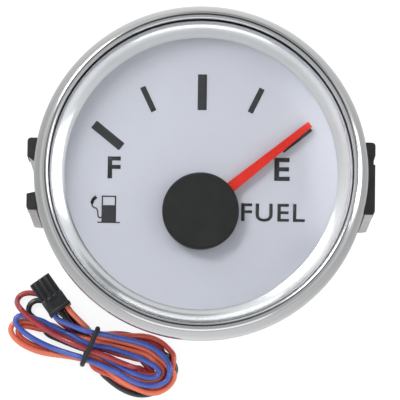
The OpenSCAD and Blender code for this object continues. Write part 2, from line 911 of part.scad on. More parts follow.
module studs() {
    color([0.72, 0.72, 0.74])
        for (x = [-stud_x, stud_x])
            translate([x, 0, 0]) {
                rotate_extrude()
                    polygon([
                        [0, 0],
                        [stud_lead_d / 2, 0],
                        [stud_lead_d / 2, stud_lead],
                        [stud_d / 2, stud_lead + (stud_d - stud_lead_d) / 2],
                        [stud_d / 2, case_z + eps],
                        [0, case_z + eps]
                    ]);
                translate([0, 0, case_z])
                    cylinder(d = stud_head_af / cos(30), h = stud_head_h, $fn = 6);
            }
}

module socket_housing() {
    color([0.07, 0.07, 0.08])
        translate([0, -socket_drop, 0])
            difference() {
                union() {
                    translate([-socket_w / 2, -socket_h / 2, 0])
                        cube([socket_w, socket_h, case_z + eps]);
                    translate([-socket_w / 2 - socket_flange, -socket_h / 2 - socket_flange, case_z])
                        cube([socket_w + 2 * socket_flange, socket_h + 2 * socket_flange,
                            socket_flange_t]);
                }
                translate([-cavity_w / 2, -cavity_h / 2, -1])
                    cube([cavity_w, cavity_h, socket_depth + 1]);
                translate([-0.7, cavity_h / 2 - eps, -1])
                    cube([1.4, 0.6, socket_depth]);
                at_ways()
                    translate([-pin_w / 2 - fine_play, -pin_w / 2 - fine_play, socket_depth - 1])
                        cube([pin_w + 2 * fine_play, pin_w + 2 * fine_play, case_z]);
            }
}

// Places its children on the contacts of the socket or plug, seen from its end
module at_ways() {
    for (i = [0 : ways - 1], row = [-1, 1])
        translate([(i - (ways - 1) / 2) * way_pitch, row * row_pitch / 2, 0])
            children();
}

module socket_pins() {
    color([0.85, 0.78, 0.5])
        translate([0, -socket_drop, 0])
            at_ways()
                translate([-pin_w / 2, -pin_w / 2, socket_depth - pin_out])
                    cube([pin_w, pin_w, socket_board_z + board_t + 1 - socket_depth + pin_out]);
}

module socket_board() {
    color([0.05, 0.35, 0.18])
        difference() {
            translate([-socket_board_w / 2, -socket_drop - socket_board_h / 2, socket_board_z])
                cube([socket_board_w, socket_board_h, board_t]);
            translate([0, -socket_drop, socket_board_z - 1])
                at_ways()
                    translate([-pin_w / 2 - fine_play, -pin_w / 2 - fine_play, 0])
                        cube([pin_w + 2 * fine_play, pin_w + 2 * fine_play, board_t + 2]);
            for (x = [-socket_screw_x, socket_screw_x])
                translate([x, socket_screw_y, socket_board_z - 1])
                    cylinder(r = 0.6 + 0.1, h = board_t + 2, $fn = 32);
        }
}

module socket_screws() {
    color([0.7, 0.7, 0.72])
        for (x = [-socket_screw_x, socket_screw_x])
            translate([x, socket_screw_y, socket_board_z + board_t])
                screw(1.1, 0.8, 0.6, board_t + socket_flange_t + 1);
}

ribbon_leads = 5;
ribbon_pitch = 1.2;
ribbon_t = 0.9;
ribbon_r = 4;
ribbon_low_y = -socket_drop + 4;
ribbon_high_y = motor_low_y - 1.4;

// Middle line of the ribbon from the socket board up, over, and up to the main board
function ribbon_line() =
    let (
        low = socket_board_z + board_t,
        bend = ribbon_low_y - ribbon_high_y - 2 * ribbon_r,
        turn_z = low + 3,
        cross_z = turn_z + ribbon_r
    )
    concat(
        [[ribbon_low_y, low]],
        [for (a = [0 : 15 : 90])
            [ribbon_low_y - ribbon_r + ribbon_r * cos(a), turn_z + ribbon_r * sin(a)]],
        [for (a = [0 : 15 : 90])
            [ribbon_low_y - ribbon_r - bend - ribbon_r * sin(a),
                cross_z + ribbon_r - ribbon_r * cos(a)]],
        [[ribbon_high_y, board_z]]
    );

// Half-thickness offset of the ribbon's line to one side
function ribbon_side(line, side) =
    [for (i = [0 : len(line) - 1])
        let (
            before = line[max(i - 1, 0)],
            after = line[min(i + 1, len(line) - 1)],
            d = (after - before) / norm(after - before)
        )
        line[i] + side * ribbon_t / 2 * [-d[1], d[0]]];

module lead_ribbon() {
    line = ribbon_line();
    left = ribbon_side(line, 1);
    right = ribbon_side(line, -1);
    last = len(right) - 1;
    color([0.75, 0.75, 0.78])
        for (i = [0 : ribbon_leads - 1])
            translate([(i - (ribbon_leads - 1) / 2) * ribbon_pitch - ribbon_pitch / 2 + play, 0, 0])
                rotate([90, 0, 90])
                    linear_extrude(height = ribbon_pitch - 2 * play)
                        polygon(concat(left, [for (k = [0 : last]) right[last - k]]));
}

module bracket() {
    color([0.75, 0.76, 0.78])
        difference() {
            translate([0, strap_w / 2, 0])
                rotate([90, 0, 0])
                    linear_extrude(height = strap_w)
                        intersection() {
                            difference() {
                                translate([0, strap_z + leg_top / 2])
                                    round_rect(bracket_w, leg_top, bend_r);
                                translate([0, strap_z + strap_t + leg_top / 2])
                                    round_rect(2 * leg_x, leg_top, bend_r - strap_t);
                            }
                            translate([-bracket_w, 0])
                                square([2 * bracket_w, leg_top]);
                        }
            for (x = [-stud_x, stud_x])
                translate([x, 0, strap_z - 1])
                    cylinder(d = stud_d + 4 * play, h = strap_t + 2);
            translate([0, 0, strap_z + bend_r + 1])
                linear_extrude(height = leg_top)
                    mirror([1, 0, 0])
                        left_gap();
        }
}

// Outline of the gap between the left leg's two prongs, drawn on the right side. It widens
// outwards, most of all on its upper side.
module left_gap() {
    low = left_gap_y - left_gap_w / 2;
    high = left_gap_y + left_gap_w / 2;
    polygon([
        [leg_x, low],
        [bracket_w / 2 + 1, low - 0.6],
        [bracket_w / 2 + 1, high + 1.9],
        [leg_x, high]
    ]);
}

// A rubber foot on the right leg: a cap over its end and a lining on its inside
module foot() {
    inner_x = leg_x - foot_in;
    outer_x = bracket_w / 2 + foot_out;
    difference() {
        union() {
            translate([(inner_x + outer_x) / 2, 0, foot_z])
                linear_extrude(height = foot_h)
                    round_rect(outer_x - inner_x, strap_w, foot_round);
            translate([inner_x, -strap_w / 2 + foot_round, strap_z + bend_r])
                cube([foot_in, strap_w - 2 * foot_round, foot_z - strap_z - bend_r + eps]);
        }
        translate([leg_x, -strap_w / 2 - 1, foot_z - 1])
            cube([strap_t, strap_w + 2, foot_h + 1 - foot_cap]);
    }
}

module left_foot() {
    color([0.07, 0.07, 0.08])
        mirror([1, 0, 0])
            difference() {
                foot();
                translate([0, 0, foot_z - 1])
                    linear_extrude(height = foot_h + 2)
                        left_gap();
            }
}

module right_foot() {
    color([0.07, 0.07, 0.08])
        difference() {
            foot();
            translate([bracket_w / 2 - eps, right_notch_y - right_notch_w / 2, foot_z - 1])
                cube([foot_out + 1, right_notch_w, foot_h + 2]);
        }
}

module stud_washers() {
    color([0.7, 0.7, 0.72])
        for (x = [-stud_x, stud_x])
            translate([x, 0, washer_z])
                tube(washer_d / 2, stud_d / 2 + 2 * play, washer_t);
}

nut_grooves = 24;
nut_groove = 0.35;

// A knurled thumb nut on one stud
module thumb_nut(x) {
    translate([x, 0, nut_z])
        difference() {
            union() {
                linear_extrude(height = nut_h - 0.8)
                    polygon([for (i = [0 : 2 * nut_grooves - 1])
                        let (r = nut_d / 2 - (i % 2) * nut_groove, a = 180 * i / nut_grooves)
                        [r * cos(a), r * sin(a)]]);
                cylinder(r = nut_d / 2 - 1, h = nut_h);
            }
            translate([0, 0, -1])
                cylinder(d = stud_d + 2 * bore_play, h = nut_h + 2);
        }
}

module left_nut() {
    color([0.72, 0.72, 0.74])
        thumb_nut(-stud_x);
}

module right_nut() {
    color([0.72, 0.72, 0.74])
        thumb_nut(stud_x);
}

// Smooth step from 0 to 1
function ease(x) = let (t = min(max(x, 0), 1)) t * t * (3 - 2 * t);

// A point of a wire's loops in the hank's own frame. The turn count t starts at the tie on
// the upper side and runs clockwise: right end, lower side, left end, upper side again.
function loop_point(wire, t) =
    let (
        a = 90 - 360 * t + 12 * sin(720 * t),
        c = cos(a),
        s = sin(a),
        late = ease((t - 0.5) * 2),
        inner = wire[9] == "winds in" ? late : 1 - late,
        slot = tie_slot - tie_step * inner,
        at_left = c < 0,
        full = at_left ? wire[2] : wire[1],
        u = (full - (at_left ? loop_step : wire[12]) * inner) * c * (1 + 0.3 * s * s),
        size = (at_left ? (s < 0 ? wire[5] : wire[6]) : (s < 0 ? wire[4] : wire[3]))
            - (at_left ? loop_step : s < 0 ? wire[11] : wire[10]) * inner,
        spread = ease(abs(u) / full / (at_left && s > 0 && wire[0] > 1 ? 0.95 : 0.75)),
        rise = (at_left ? wire[8] : wire[7]) * ease(abs(c)),
        over = wire[0] == 0 ? over_layers * ease((t - 0.25) / 0.14) * (1 - ease((t - 0.72) / 0.12)) : 0,
        z = wire_d / 2 + layer_step * (wire[0] + over) + hank_lift * (1 - ease((abs(u) - 1.4) / 5))
    )
    [u, s * (slot + (size - slot) * spread) + rise, z];

// A point on the plug's rear face and points behind it, in the hank's own frame
function behind_plug(way, row, distance) =
    [plug_rear[0] + distance * cos(plug_a) - (way * way_pitch) * sin(plug_a),
        plug_rear[1] + distance * sin(plug_a) + (way * way_pitch) * cos(plug_a),
        plug_z + plug_h / 2 + row * row_pitch / 2];

// One span of a smooth curve through b and c, with a and d as their neighbours
function span(a, b, c, d, steps) =
    [for (i = [0 : steps - 1])
        let (t = i / steps)
        0.5 * (2 * b + (c - a) * t + (2 * a - 5 * b + 4 * c - d) * t * t
            + (3 * b - a - 3 * c + d) * t * t * t)];

// The whole middle line of a wire: straight out of the plug, over to the tie, round the loops
function wire_line(wire, way, row, via) =
    let (
        loops = [for (i = [0 : 36]) loop_point(wire, i / 24)],
        lead = concat([behind_plug(way, row, -0.02), behind_plug(way, row, 1.2)], via),
        knots = concat([behind_plug(way, row, -1.2)], lead, [loops[0], loops[1]]),
        smooth = [for (k = [0 : len(lead) - 1])
            each span(knots[k], knots[k + 1], knots[k + 2], knots[k + 3], k == 0 ? 1 : 3)]
    )
    concat(smooth, loops);

// A wire's least gap to itself, measured between points a quarter of a step apart on its line
// that are more than gap_apart from each other along it
gap_apart = 5;
function least_gap(line) =
    let (
        last = len(line) - 1,
        points = [for (i = [0 : last - 1], k = [0 : 3]) line[i] + (line[i + 1] - line[i]) * k / 4],
        steps = [for (i = [1 : len(points) - 1]) norm(points[i] - points[i - 1])],
        walked = [for (i = 0, far = 0; i < len(points);
            far = far + (i < len(steps) ? steps[i] : 0), i = i + 1) far]
    )
    min([for (i = [0 : len(points) - 2], j = [i + 1 : len(points) - 1])
        if (walked[j] - walked[i] > gap_apart) norm(points[j] - points[i])]) - wire_d;

// A six-sided tube round a line that nowhere stands upright
module line_tube(line, diameter) {
    sides = 6;
    last = len(line) - 1;
    rings = [for (i = [0 : last])
        let (
            d = line[min(i + 1, last)] - line[max(i - 1, 0)],
            across = cross(d, [0, 0, 1]) / norm(cross(d, [0, 0, 1])),
            up = cross(across, d) / norm(cross(across, d))
        )
        for (k = [0 : sides - 1])
            line[i] + diameter / 2 * (cos(60 * k) * across + sin(60 * k) * up)];
    walls = [for (i = [0 : last - 1], k = [0 : sides - 1])
        let (a = i * sides + k, b = i * sides + (k + 1) % sides)
        each [[a, b, a + sides], [b, b + sides, a + sides]]];
    caps = [for (k = [1 : sides - 2])
        each [[0, k + 1, k], [last * sides, last * sides + k, last * sides + k + 1]]];
    polyhedron(points = rings, faces = concat(walls, caps));
}

module in_hank() {
    translate(hank_middle)
        rotate(hank_a)
            children();
}

crimson_line = wire_line(crimson_loops, -1, -1, [[-5, 2, 2.1], [-2.2, 1, 1.8]]);
black_line = wire_line(black_loops, 0, -1, [[-4.7, 2.62, 3.33], [-2.2, 1.3, 2.87]]);
salmon_line = wire_line(salmon_loops, 1, -1, [[-3, 3.9, 4.2]]);
blue_line = wire_line(blue_loops, -1, 1, [[-3.8, 2.9, 6.3]]);
orange_line = wire_line(orange_loops, 1, 1, [[-2.9, 3.8, 5.5]]);

module crimson_wire() {
    echo(crimson_least_gap = least_gap(crimson_line));
    color([0.6, 0.1, 0.16])
        in_hank()
            line_tube(crimson_line, wire_d);
}

module black_wire() {
    echo(black_least_gap = least_gap(black_line));
    color([0.08, 0.08, 0.09])
        in_hank()
            line_tube(black_line, wire_d);
}

module salmon_wire() {
    echo(salmon_least_gap = least_gap(salmon_line));
    color([0.87, 0.33, 0.24])
        in_hank()
            line_tube(salmon_line, wire_d);
}

module blue_wire() {
    echo(blue_least_gap = least_gap(blue_line));
    color([0.15, 0.25, 0.6])
        in_hank()
            line_tube(blue_line, wire_d);
}

module orange_wire() {
    echo(orange_least_gap = least_gap(orange_line));
    color([0.95, 0.5, 0.12])
        in_hank()
            line_tube(orange_line, wire_d);
}

// The rubber tie: an upright band round all the strands
module tie() {
    high = tie_high_z - tie_low_z;
    outer = [2 * tie_half_w + tie_d, high + tie_d];
    inner = [2 * tie_half_w - tie_d, high - tie_d];
    color([0.07, 0.07, 0.08])
        in_hank()
            rotate(tie_turn)
                translate([-tie_band / 2, 0, tie_low_z + high / 2])
                    rotate([90, 0, 90])
                        linear_extrude(height = tie_band)
                            difference() {
                                round_rect(outer[0], outer[1], 1.6);
                                round_rect(inner[0], inner[1], 0.4);
                            }
}

plug_slot_w = 0.5;
plug_slot_l = 3.6;

module in_plug() {
    in_hank()
        translate([plug_rear[0], plug_rear[1], plug_z + plug_h / 2])
            rotate([0, 0, plug_a])
                children();
}

// The plug's body: open ways at its front end, ribs on its sides and a latch on top
module plug() {
    color([0.06, 0.06, 0.07])
        in_plug()
            difference() {
                union() {
                    translate([-plug_l, -plug_w / 2, -plug_h / 2])
                        cube([plug_l, plug_w, plug_h]);
                    translate([-plug_l + 1.2, -0.6, plug_h / 2 - eps])
                        cube([3.4, 1.2, 0.35]);
                }
                for (i = [0 : ways - 1])
                    translate([-plug_l + 0.6, (i - (ways - 1) / 2) * way_pitch + way_pitch / 2
                        - plug_slot_w / 2, plug_h / 2 - 0.35])
                        cube([i < ways - 1 ? plug_slot_l : 0.01, plug_slot_w, 1]);
                for (y = [-1, 1], x = [-plug_l + 1.6, -plug_l + 3.2, -plug_l + 4.8])
                    translate([x, y * plug_w / 2 - 0.2, -plug_h / 2 - 1])
                        cube([0.6, 0.4, plug_h + 2]);
                at_plug_ways()
                    translate([-0.4, -0.4, -1])
                        cube([0.8, 0.8, contact_l + 1]);
            }
}

contact_l = 4.6;
contact_t = 0.09;

// Places its children in the plug's ways, with z running in from the front end
module at_plug_ways() {
    translate([-plug_l, 0, 0])
        rotate([0, 90, 0])
            rotate(90)
                at_ways()
                    children();
}

module plug_contacts() {
    color([0.8, 0.72, 0.45])
        in_plug()
            at_plug_ways()
                difference() {
                    translate([-0.38, -0.38, 0.4])
                        cube([0.76, 0.76, contact_l - 0.4]);
                    translate([-0.29, -0.29, 0])
                        cube([0.58, 0.58, contact_l - 0.5]);
                }
}

bezel();
lens();
lens_seal();
inner_ring();
dial_plate();
scale_marks();
light_guide();
light_ring();
needle();
hub_cap();
spindle();
output_wheel();
intermediate_wheel();
rotor_pinion();
rotor_magnet();
gear_pins();
motor_base();
motor_cover();
stator_core();
left_coil();
right_coil();
motor_pins();
circuit_board();
control_chip();
capacitor();
small_parts();
lamps();
board_screws();
case();
panel_gasket();
rear_cover();
cover_seal();
cover_screws();
studs();
socket_housing();
socket_pins();
socket_board();
socket_screws();
lead_ribbon();
bracket();
left_foot();
right_foot();
stud_washers();
left_nut();
right_nut();
plug();
plug_contacts();
crimson_wire();
black_wire();
salmon_wire();
blue_wire();
orange_wire();
tie();
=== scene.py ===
# %% [markdown]
# # A fuel gauge and its tied hank of wires
# A dashboard fuel gauge is a round glass-fronted tin with a polished bezel. Beside it lies
# the harness: a small plug and five thin wires, wound into a hank and tied. The solids come
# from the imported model, and this lesson dresses them. Small sizes are in millimetres, and
# every piece ends up in metres, where the model has it.

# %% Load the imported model
import bpy
import math
import numpy as np
from collections import namedtuple
from mathutils import Matrix, Quaternion, Vector


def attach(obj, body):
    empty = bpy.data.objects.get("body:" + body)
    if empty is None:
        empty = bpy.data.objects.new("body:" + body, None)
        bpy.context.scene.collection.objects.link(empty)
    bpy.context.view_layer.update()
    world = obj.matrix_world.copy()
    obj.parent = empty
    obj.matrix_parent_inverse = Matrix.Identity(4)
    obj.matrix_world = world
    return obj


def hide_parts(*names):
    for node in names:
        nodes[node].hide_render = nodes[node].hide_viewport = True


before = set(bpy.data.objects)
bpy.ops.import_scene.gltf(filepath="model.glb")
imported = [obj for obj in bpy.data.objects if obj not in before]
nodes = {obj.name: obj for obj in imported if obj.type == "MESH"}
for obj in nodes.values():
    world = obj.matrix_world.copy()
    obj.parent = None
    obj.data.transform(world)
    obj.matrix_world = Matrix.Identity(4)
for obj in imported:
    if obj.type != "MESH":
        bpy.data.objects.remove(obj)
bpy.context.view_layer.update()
MM = 0.001


# %% [markdown]
# ## The camera
# The gauge was seen from almost straight in front, with the lens a long way off, so the round
# bezel stays a circle. The dial looks up here, so the camera stands high above it, tipped six
# degrees towards the lower edge. A long lens at 0.8 m gives the same flat view.

# %% Camera
VIEW_TILT = math.radians(84)
VIEW_AWAY = 0.8
# the photographer held the camera a touch askew, so the gauge appears turned to the right
VIEW_ROLL = math.radians(0.86)
AIM_HEIGHT = 52
SENSOR = 36
PICTURE = 400
PIXEL = 0.1853
# the bezel's middle sits a little above the picture's middle
BEZEL_PX = (201.13, 172.78)
NEAREST, FARTHEST = 0.05, 10

look_dir = Vector((0, math.cos(VIEW_TILT), -math.sin(VIEW_TILT)))
look_at = Vector((0, 0, AIM_HEIGHT * MM))
bpy.ops.object.select_all(action="DESELECT")
bpy.ops.object.camera_add(location=look_at - look_dir * VIEW_AWAY)
camera = bpy.context.object
camera.name = "camera"
turned = look_dir.to_track_quat("-Z", "Y") @ Quaternion((0, 0, 1), VIEW_ROLL)
camera.rotation_euler = turned.to_euler()
camera.data.sensor_width = SENSOR
camera.data.lens = SENSOR * VIEW_AWAY / (PICTURE * PIXEL * MM)
camera.data.clip_start = NEAREST
camera.data.clip_end = FARTHEST
aside = Vector((BEZEL_PX[0] - PICTURE / 2, PICTURE / 2 - BEZEL_PX[1], 0)) * PIXEL * MM
camera.location -= camera.rotation_euler.to_matrix() @ aside
bpy.context.scene.camera = camera
bpy.context.scene.view_settings.view_transform = "Standard"
print("lens", round(camera.data.lens, 1), "mm at", [round(x, 4) for x in camera.location])

# %% [markdown]
# ## The wires' route
# Each wire leaves the plug, passes under the tie and goes one and a half times round the
# hank. Its middle line is the one that the solid model has: a formula for the two end loops,
# and a few points given between plug and tie. Lengths are in millimetres in the hank's
# own frame, where x runs along the hank.

# %% The route's sizes
WIRE_D = 1.1
LAYER = 1.22
# how far from the middle a wire's outer turn passes under the tie, and how much nearer its
# inner turn does
TIE_SLOT = 2.5
TIE_STEP = 1.65
# how much smaller the inner turn is in the left loop
LOOP_STEP = 2.0
# strands lie a layer higher under the tie, a wire changes from its first turn's size to its
# second's, and the lowest wire climbs over the others and comes down. Each pair says where
# that begins and how far it goes on, along the hank or in turns
LIFT = LAYER
BESIDE = (1.4, 5)
CHANGE = (0.5, 0.5)
OVER = 5
CLIMB = (0.25, 0.14)
DESCENT = (0.72, 0.12)
# a loop is fuller than a plain oval: its points' angles shift by up to this many degrees,
# and its corners lie further out, the more so the higher this is
FULLER = 12
BULGE = 0.3
# the share of a loop's reach at which it has its full width, and that of the upper wires
# at the upper left
WIDE_AT = 0.75
WIDE_LATE = 0.95
TURNS = 1.5
TURN_POINTS = 24
HANK_MIDDLE = (-21.24, -29.12)
HANK_TURN = math.radians(-14.94)
PLUG_REAR = (-7.3, 5.1)
PLUG_TURN = math.radians(-39)
PLUG_SIZE = (7.4, 4.6, 4.6)
PLUG_Z = WIRE_D + LAYER + 0.05
WAY_PITCH = 1.45
ROW_OFF = 1.0

# how far the loops reach, their half widths, how far they shift up, whether the second turn
# lies inside the first, and how much smaller the right loop's inner turn is
Loop = namedtuple("Loop", "layer right left right_above right_below left_below left_above "
                          "right_shift left_shift winding less_above less_below less_at_end")
LOOPS = {
    "crimson": Loop(0, 17, 17.6, 6.2, 5.8, 3, 6.6, -1, 4, "winds out", 2.6, 4.4, 4),
    "black": Loop(1, 17.7, 15.6, 5.6, 6.5, 2.8, 6.8, -1, 3.4, "winds out", 2.2, 2.2, 2),
    "salmon": Loop(2, 17.2, 16.5, 6.8, 6.2, 4.2, 3.5, -0.9, 0, "winds in", 4.6, 2.4, 2),
    "orange": Loop(3, 17.9, 18, 4.7, 6.2, 4.6, 4.2, -1.2, 0, "winds in", 2.2, 2, 2),
    "blue": Loop(4, 17.4, 17.5, 5.2, 5.3, 3.6, 3.2, -1, 1.8, "winds in", 3.6, 2, 2),
}
# way and row in the plug, then the points between plug and tie
LEADS = {
    "crimson": (-1, -1, [(-5, 2, 2.1), (-2.2, 1, 1.8)]),
    "black": (0, -1, [(-4.7, 2.62, 3.33), (-2.2, 1.3, 2.87)]),
    "salmon": (1, -1, [(-3, 3.9, 4.2)]),
    "orange": (1, 1, [(-2.9, 3.8, 5.5)]),
    "blue": (-1, 1, [(-3.8, 2.9, 6.3)]),
}


# %% The route's formula
def ease(x):
    """Rises smoothly from 0 to 1 as x does."""
    t = min(max(x, 0), 1)
    return t * t * (3 - 2 * t)


def eased(t, span):
    return ease((t - span[0]) / span[1])


def loop_point(wire, t):
    """The point of a wire's loops after t turns."""
    a = math.radians(90 - 360 * t + FULLER * math.sin(math.radians(720 * t)))
    c, s = math.cos(a), math.sin(a)
    at_left, above = c < 0, s > 0
    late = eased(t, CHANGE)
    inner = late if wire.winding == "winds in" else 1 - late
    slot = TIE_SLOT - TIE_STEP * inner
    if at_left:
        reach, shift, shorter, narrower = wire.left, wire.left_shift, LOOP_STEP, LOOP_STEP
        half = wire.left_above if above else wire.left_below
    else:
        reach, shift, shorter = wire.right, wire.right_shift, wire.less_at_end
        narrower = wire.less_above if above else wire.less_below
        half = wire.right_above if above else wire.right_below
    u = (reach - shorter * inner) * c * (1 + BULGE * s * s)
    size = half - narrower * inner
    wide = WIDE_LATE if at_left and above and wire.layer > 1 else WIDE_AT
    spread = ease(abs(u) / reach / wide)
    over = OVER * eased(t, CLIMB) * (1 - eased(t, DESCENT)) if wire.layer == 0 else 0
    z = WIRE_D / 2 + LAYER * (wire.layer + over) + LIFT * (1 - eased(abs(u), BESIDE))
    return (u, s * (slot + (size - slot) * spread) + shift * ease(abs(c)), z)


def behind_plug(way, row, away):
    """A point on the middle line of one of the plug's ways, as far behind its rear as told."""
    c, s = math.cos(PLUG_TURN), math.sin(PLUG_TURN)
    return (PLUG_REAR[0] + away * c - way * WAY_PITCH * s,
            PLUG_REAR[1] + away * s + way * WAY_PITCH * c,
            PLUG_Z + PLUG_SIZE[2] / 2 + row * ROW_OFF)


def curve_through(points, steps):
    """Catmull-Rom spans through all but the first and last point."""
    p = [np.array(q, float) for q in points]
    out = []
    for k in range(1, len(p) - 2):
        a, b, c, d = p[k - 1:k + 3]
        for i in range(steps):
            t = i / steps
            out.append(0.5 * (2 * b + (c - a) * t + (2 * a - 5 * b + 4 * c - d) * t * t
                              + (3 * b - a - 3 * c + d) * t ** 3))
    out.append(p[-2])
    return np.array(out)


def spans(line):
    """The lengths of a line's straight bits."""
    return np.linalg.norm(np.diff(line, axis=0), axis=1)


def even(line, step):
    """The same line with its points a fixed step apart."""
    gone = np.concatenate([[0], np.cumsum(spans(line))])
    count = int(round(gone[-1] / step))
    at = np.linspace(0, gone[-1], count + 1)
    return np.stack([np.interp(at, gone, line[:, k]) for k in range(3)], axis=1)


# where a wire leaves the plug: a point inside, one at its rear and one behind it
PLUG_POINTS = (-1.2, -0.02, 1.2)
SPAN_STEPS = 6


def wire_line(name):
    way, row, via = LEADS[name]
    loops = [loop_point(LOOPS[name], i / TURN_POINTS) for i in range(int(TURNS * TURN_POINTS) + 1)]
    past_end = tuple(2 * np.array(loops[-1]) - np.array(loops[-2]))
    knots = [behind_plug(way, row, away) for away in PLUG_POINTS] + via + loops + [past_end]
    return curve_through(knots, SPAN_STEPS)


STEP = 0.55
lines = {name: even(wire_line(name), STEP) for name in LOOPS}
for name, line in lines.items():
    print(name, "wire:", round(float(spans(line).sum()), 1), "mm")

# %% [markdown]
# ## Letting the wires settle
# In the solid model each wire lies in its own flat layer, so the hank looks like stacked
# plates. Real wires drop into the gaps between the ones below. Here every point may fall a
# little, is pushed out of any wire that it meets, keeps its distance to its neighbours along
# the wire, and is held at the plug and by the band of the tie. Nothing is random, so it
# settles the same way each time.

# %% How they settle
ROUNDS = 240
FALL = 0.03
# points next to the plug that are held, and half the length that the tie's band holds
HELD = 4
BAND_HALF = 1.2
# every so many rounds the pairs that are near each other are looked up again, leaving out
# points that are near along the same wire
LOOK_AGAIN = 10
NEARBY = WIRE_D * 2.2
SAME_STRAND = 6
# a pair is pushed to just over a wire's width apart, by this share of what it lacks
APART = WIRE_D * 1.01
PUSH = 0.7
# how far a point may go from its solid
STRAY_SIDE, STRAY_DOWN, STRAY_UP = 1.0, 3.0, 0.5
# the share by which a wire's bends are evened out in each round
SMOOTHING = 0.12
TINY = 1e-6


def settle(lines, band):
    """Lets the points p of all wires fall together. Each wire's own points are q."""
    names = list(lines)
    counts = [len(lines[n]) for n in names]
    first = np.concatenate([[0], np.cumsum(counts)])
    p = np.concatenate([lines[n] for n in names])
    start = p.copy()
    which = np.concatenate([np.full(c, k) for k, c in enumerate(counts)])
    place = np.concatenate([np.arange(c) for c in counts])
    fixed = place < HELD
    middle = np.abs(start[:, 0]) < BAND_HALF
    rest = [spans(lines[n]) for n in names]
    for turn in range(ROUNDS):
        p[:, 2] -= np.where(fixed, 0, FALL * (1 - turn / ROUNDS))
        if turn % LOOK_AGAIN == 0:
            away = np.linalg.norm(p[:, None, :] - p[None, :, :], axis=2)
            along = np.abs(place[:, None] - place[None, :])
            near = (away < NEARBY) & ((which[:, None] != which[None, :]) | (along > SAME_STRAND))
            i, j = np.nonzero(np.triu(near, 1))
        gap = p[i] - p[j]
        length = np.maximum(np.linalg.norm(gap, axis=1), TINY)
        short = np.maximum(APART - length, 0)
        push = gap / length[:, None] * (short / 2)[:, None] * PUSH
        np.add.at(p, i, push)
        np.add.at(p, j, -push)
        p[:, 2] = np.maximum(p[:, 2], WIRE_D / 2)
        p[middle, 2] = np.clip(p[middle, 2], band[0], band[1])
        p[middle, 1] = np.clip(p[middle, 1], -band[2], band[2])
        stray = p - start
        stray[:, :2] = np.clip(stray[:, :2], -STRAY_SIDE, STRAY_SIDE)
        stray[:, 2] = np.clip(stray[:, 2], -STRAY_DOWN, STRAY_UP)
        p = np.where(fixed[:, None], start, start + stray)
        for k in range(len(names)):
            q = p[first[k]:first[k + 1]]
            for _ in range(2):
                d = np.diff(q, axis=0)
                n = np.maximum(np.linalg.norm(d, axis=1), TINY)
                fix = d / n[:, None] * ((n - rest[k]) / 2)[:, None]
                q[:-1] += fix
                q[1:] -= fix
            q[1:-1] += SMOOTHING * (q[:-2] + q[2:] - 2 * q[1:-1])
            p[first[k]:first[k + 1]] = q
        p = np.where(fixed[:, None], start, p)
    return {n: p[first[k]:first[k + 1]] for k, n in enumerate(names)}


# %% Settle the wires
TIE_CORD = 1.0
TIE_TURN = math.radians(-8)
# the room inside the tie: its bottom, its top and half its width
TIE_INSIDE = (TIE_CORD, 8.47, 3.25)
settled = settle(lines, (TIE_INSIDE[0] + WIRE_D / 2, TIE_INSIDE[1] - WIRE_D / 2,
                         TIE_INSIDE[2] - WIRE_D / 2))
for name, line in settled.items():
    low, high = line[:, 2].min(), line[:, 2].max()
    print(name, "lies between", round(float(low), 2), "and", round(float(high), 2), "mm")


def in_model(points):
    """From the hank's frame in millimetres to the model's frame in metres."""
    c, s = math.cos(HANK_TURN), math.sin(HANK_TURN)
    q = np.array(points, float)
    x = HANK_MIDDLE[0] + q[:, 0] * c - q[:, 1] * s
    y = HANK_MIDDLE[1] + q[:, 0] * s + q[:, 1] * c
    return np.stack([x, y, q[:, 2]], axis=1) * MM


# %% [markdown]
# ## Wires as curves
# A thin insulated wire is a round tube with a smooth skin. A curve with a round bevel is the
# plain way to make it: one spline for each wire, filled at its ends. The thickness is set by
# the points' radius with a bevel of one metre, because a curve's bounds count that radius.

# %% Make the wires
def add_object(name, data):
    obj = bpy.data.objects.new(name, data)
    bpy.context.collection.objects.link(obj)
    return obj


def tube(name, points, width, roundness, closed=False):
    """A round cord of a width in millimetres along points in metres."""
    data = bpy.data.curves.new(name, "CURVE")
    data.dimensions = "3D"
    data.bevel_depth = 1.0
    data.bevel_resolution = roundness
    data.use_fill_caps = not closed
    spline = data.splines.new("POLY")
    spline.points.add(len(points) - 1)
    for point, co in zip(spline.points, points):
        point.co = (*co, 1)
        point.radius = width / 2 * MM
    spline.use_cyclic_u = closed
    spline.use_smooth = True
    return add_object(name, data)


WIRE_ROUND, TIE_ROUND = 3, 4
wires = {}
for name, line in settled.items():
    obj = tube(name + "_lead", in_model(line), WIRE_D, WIRE_ROUND)
    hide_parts(name + "_wire")
    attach(obj, "gauge")
    wires[name] = obj

# %% [markdown]
# ## The tie
# A loop of thin rubber cord is drawn tight round the strands. It is a closed curve that
# hugs them: the outline of the strands at the middle of the hank, half a strand and half a
# cord further out, smoothed so that it bridges the gaps as stretched rubber does.

# %% Make the tie
TIE_POINTS = 48
# it hugs the strands within this distance of the hank's middle, with this much play, and
# its top leans this far along the hank
TIE_STRANDS = 0.6
TIE_PLAY = 0.02
TIE_LEAN = 0.15

strands = np.concatenate([line[np.abs(line[:, 0]) < TIE_STRANDS][:, 1:] for line in settled.values()])
step = 2 * math.pi / TIE_POINTS
angles = [step * k for k in range(TIE_POINTS)]
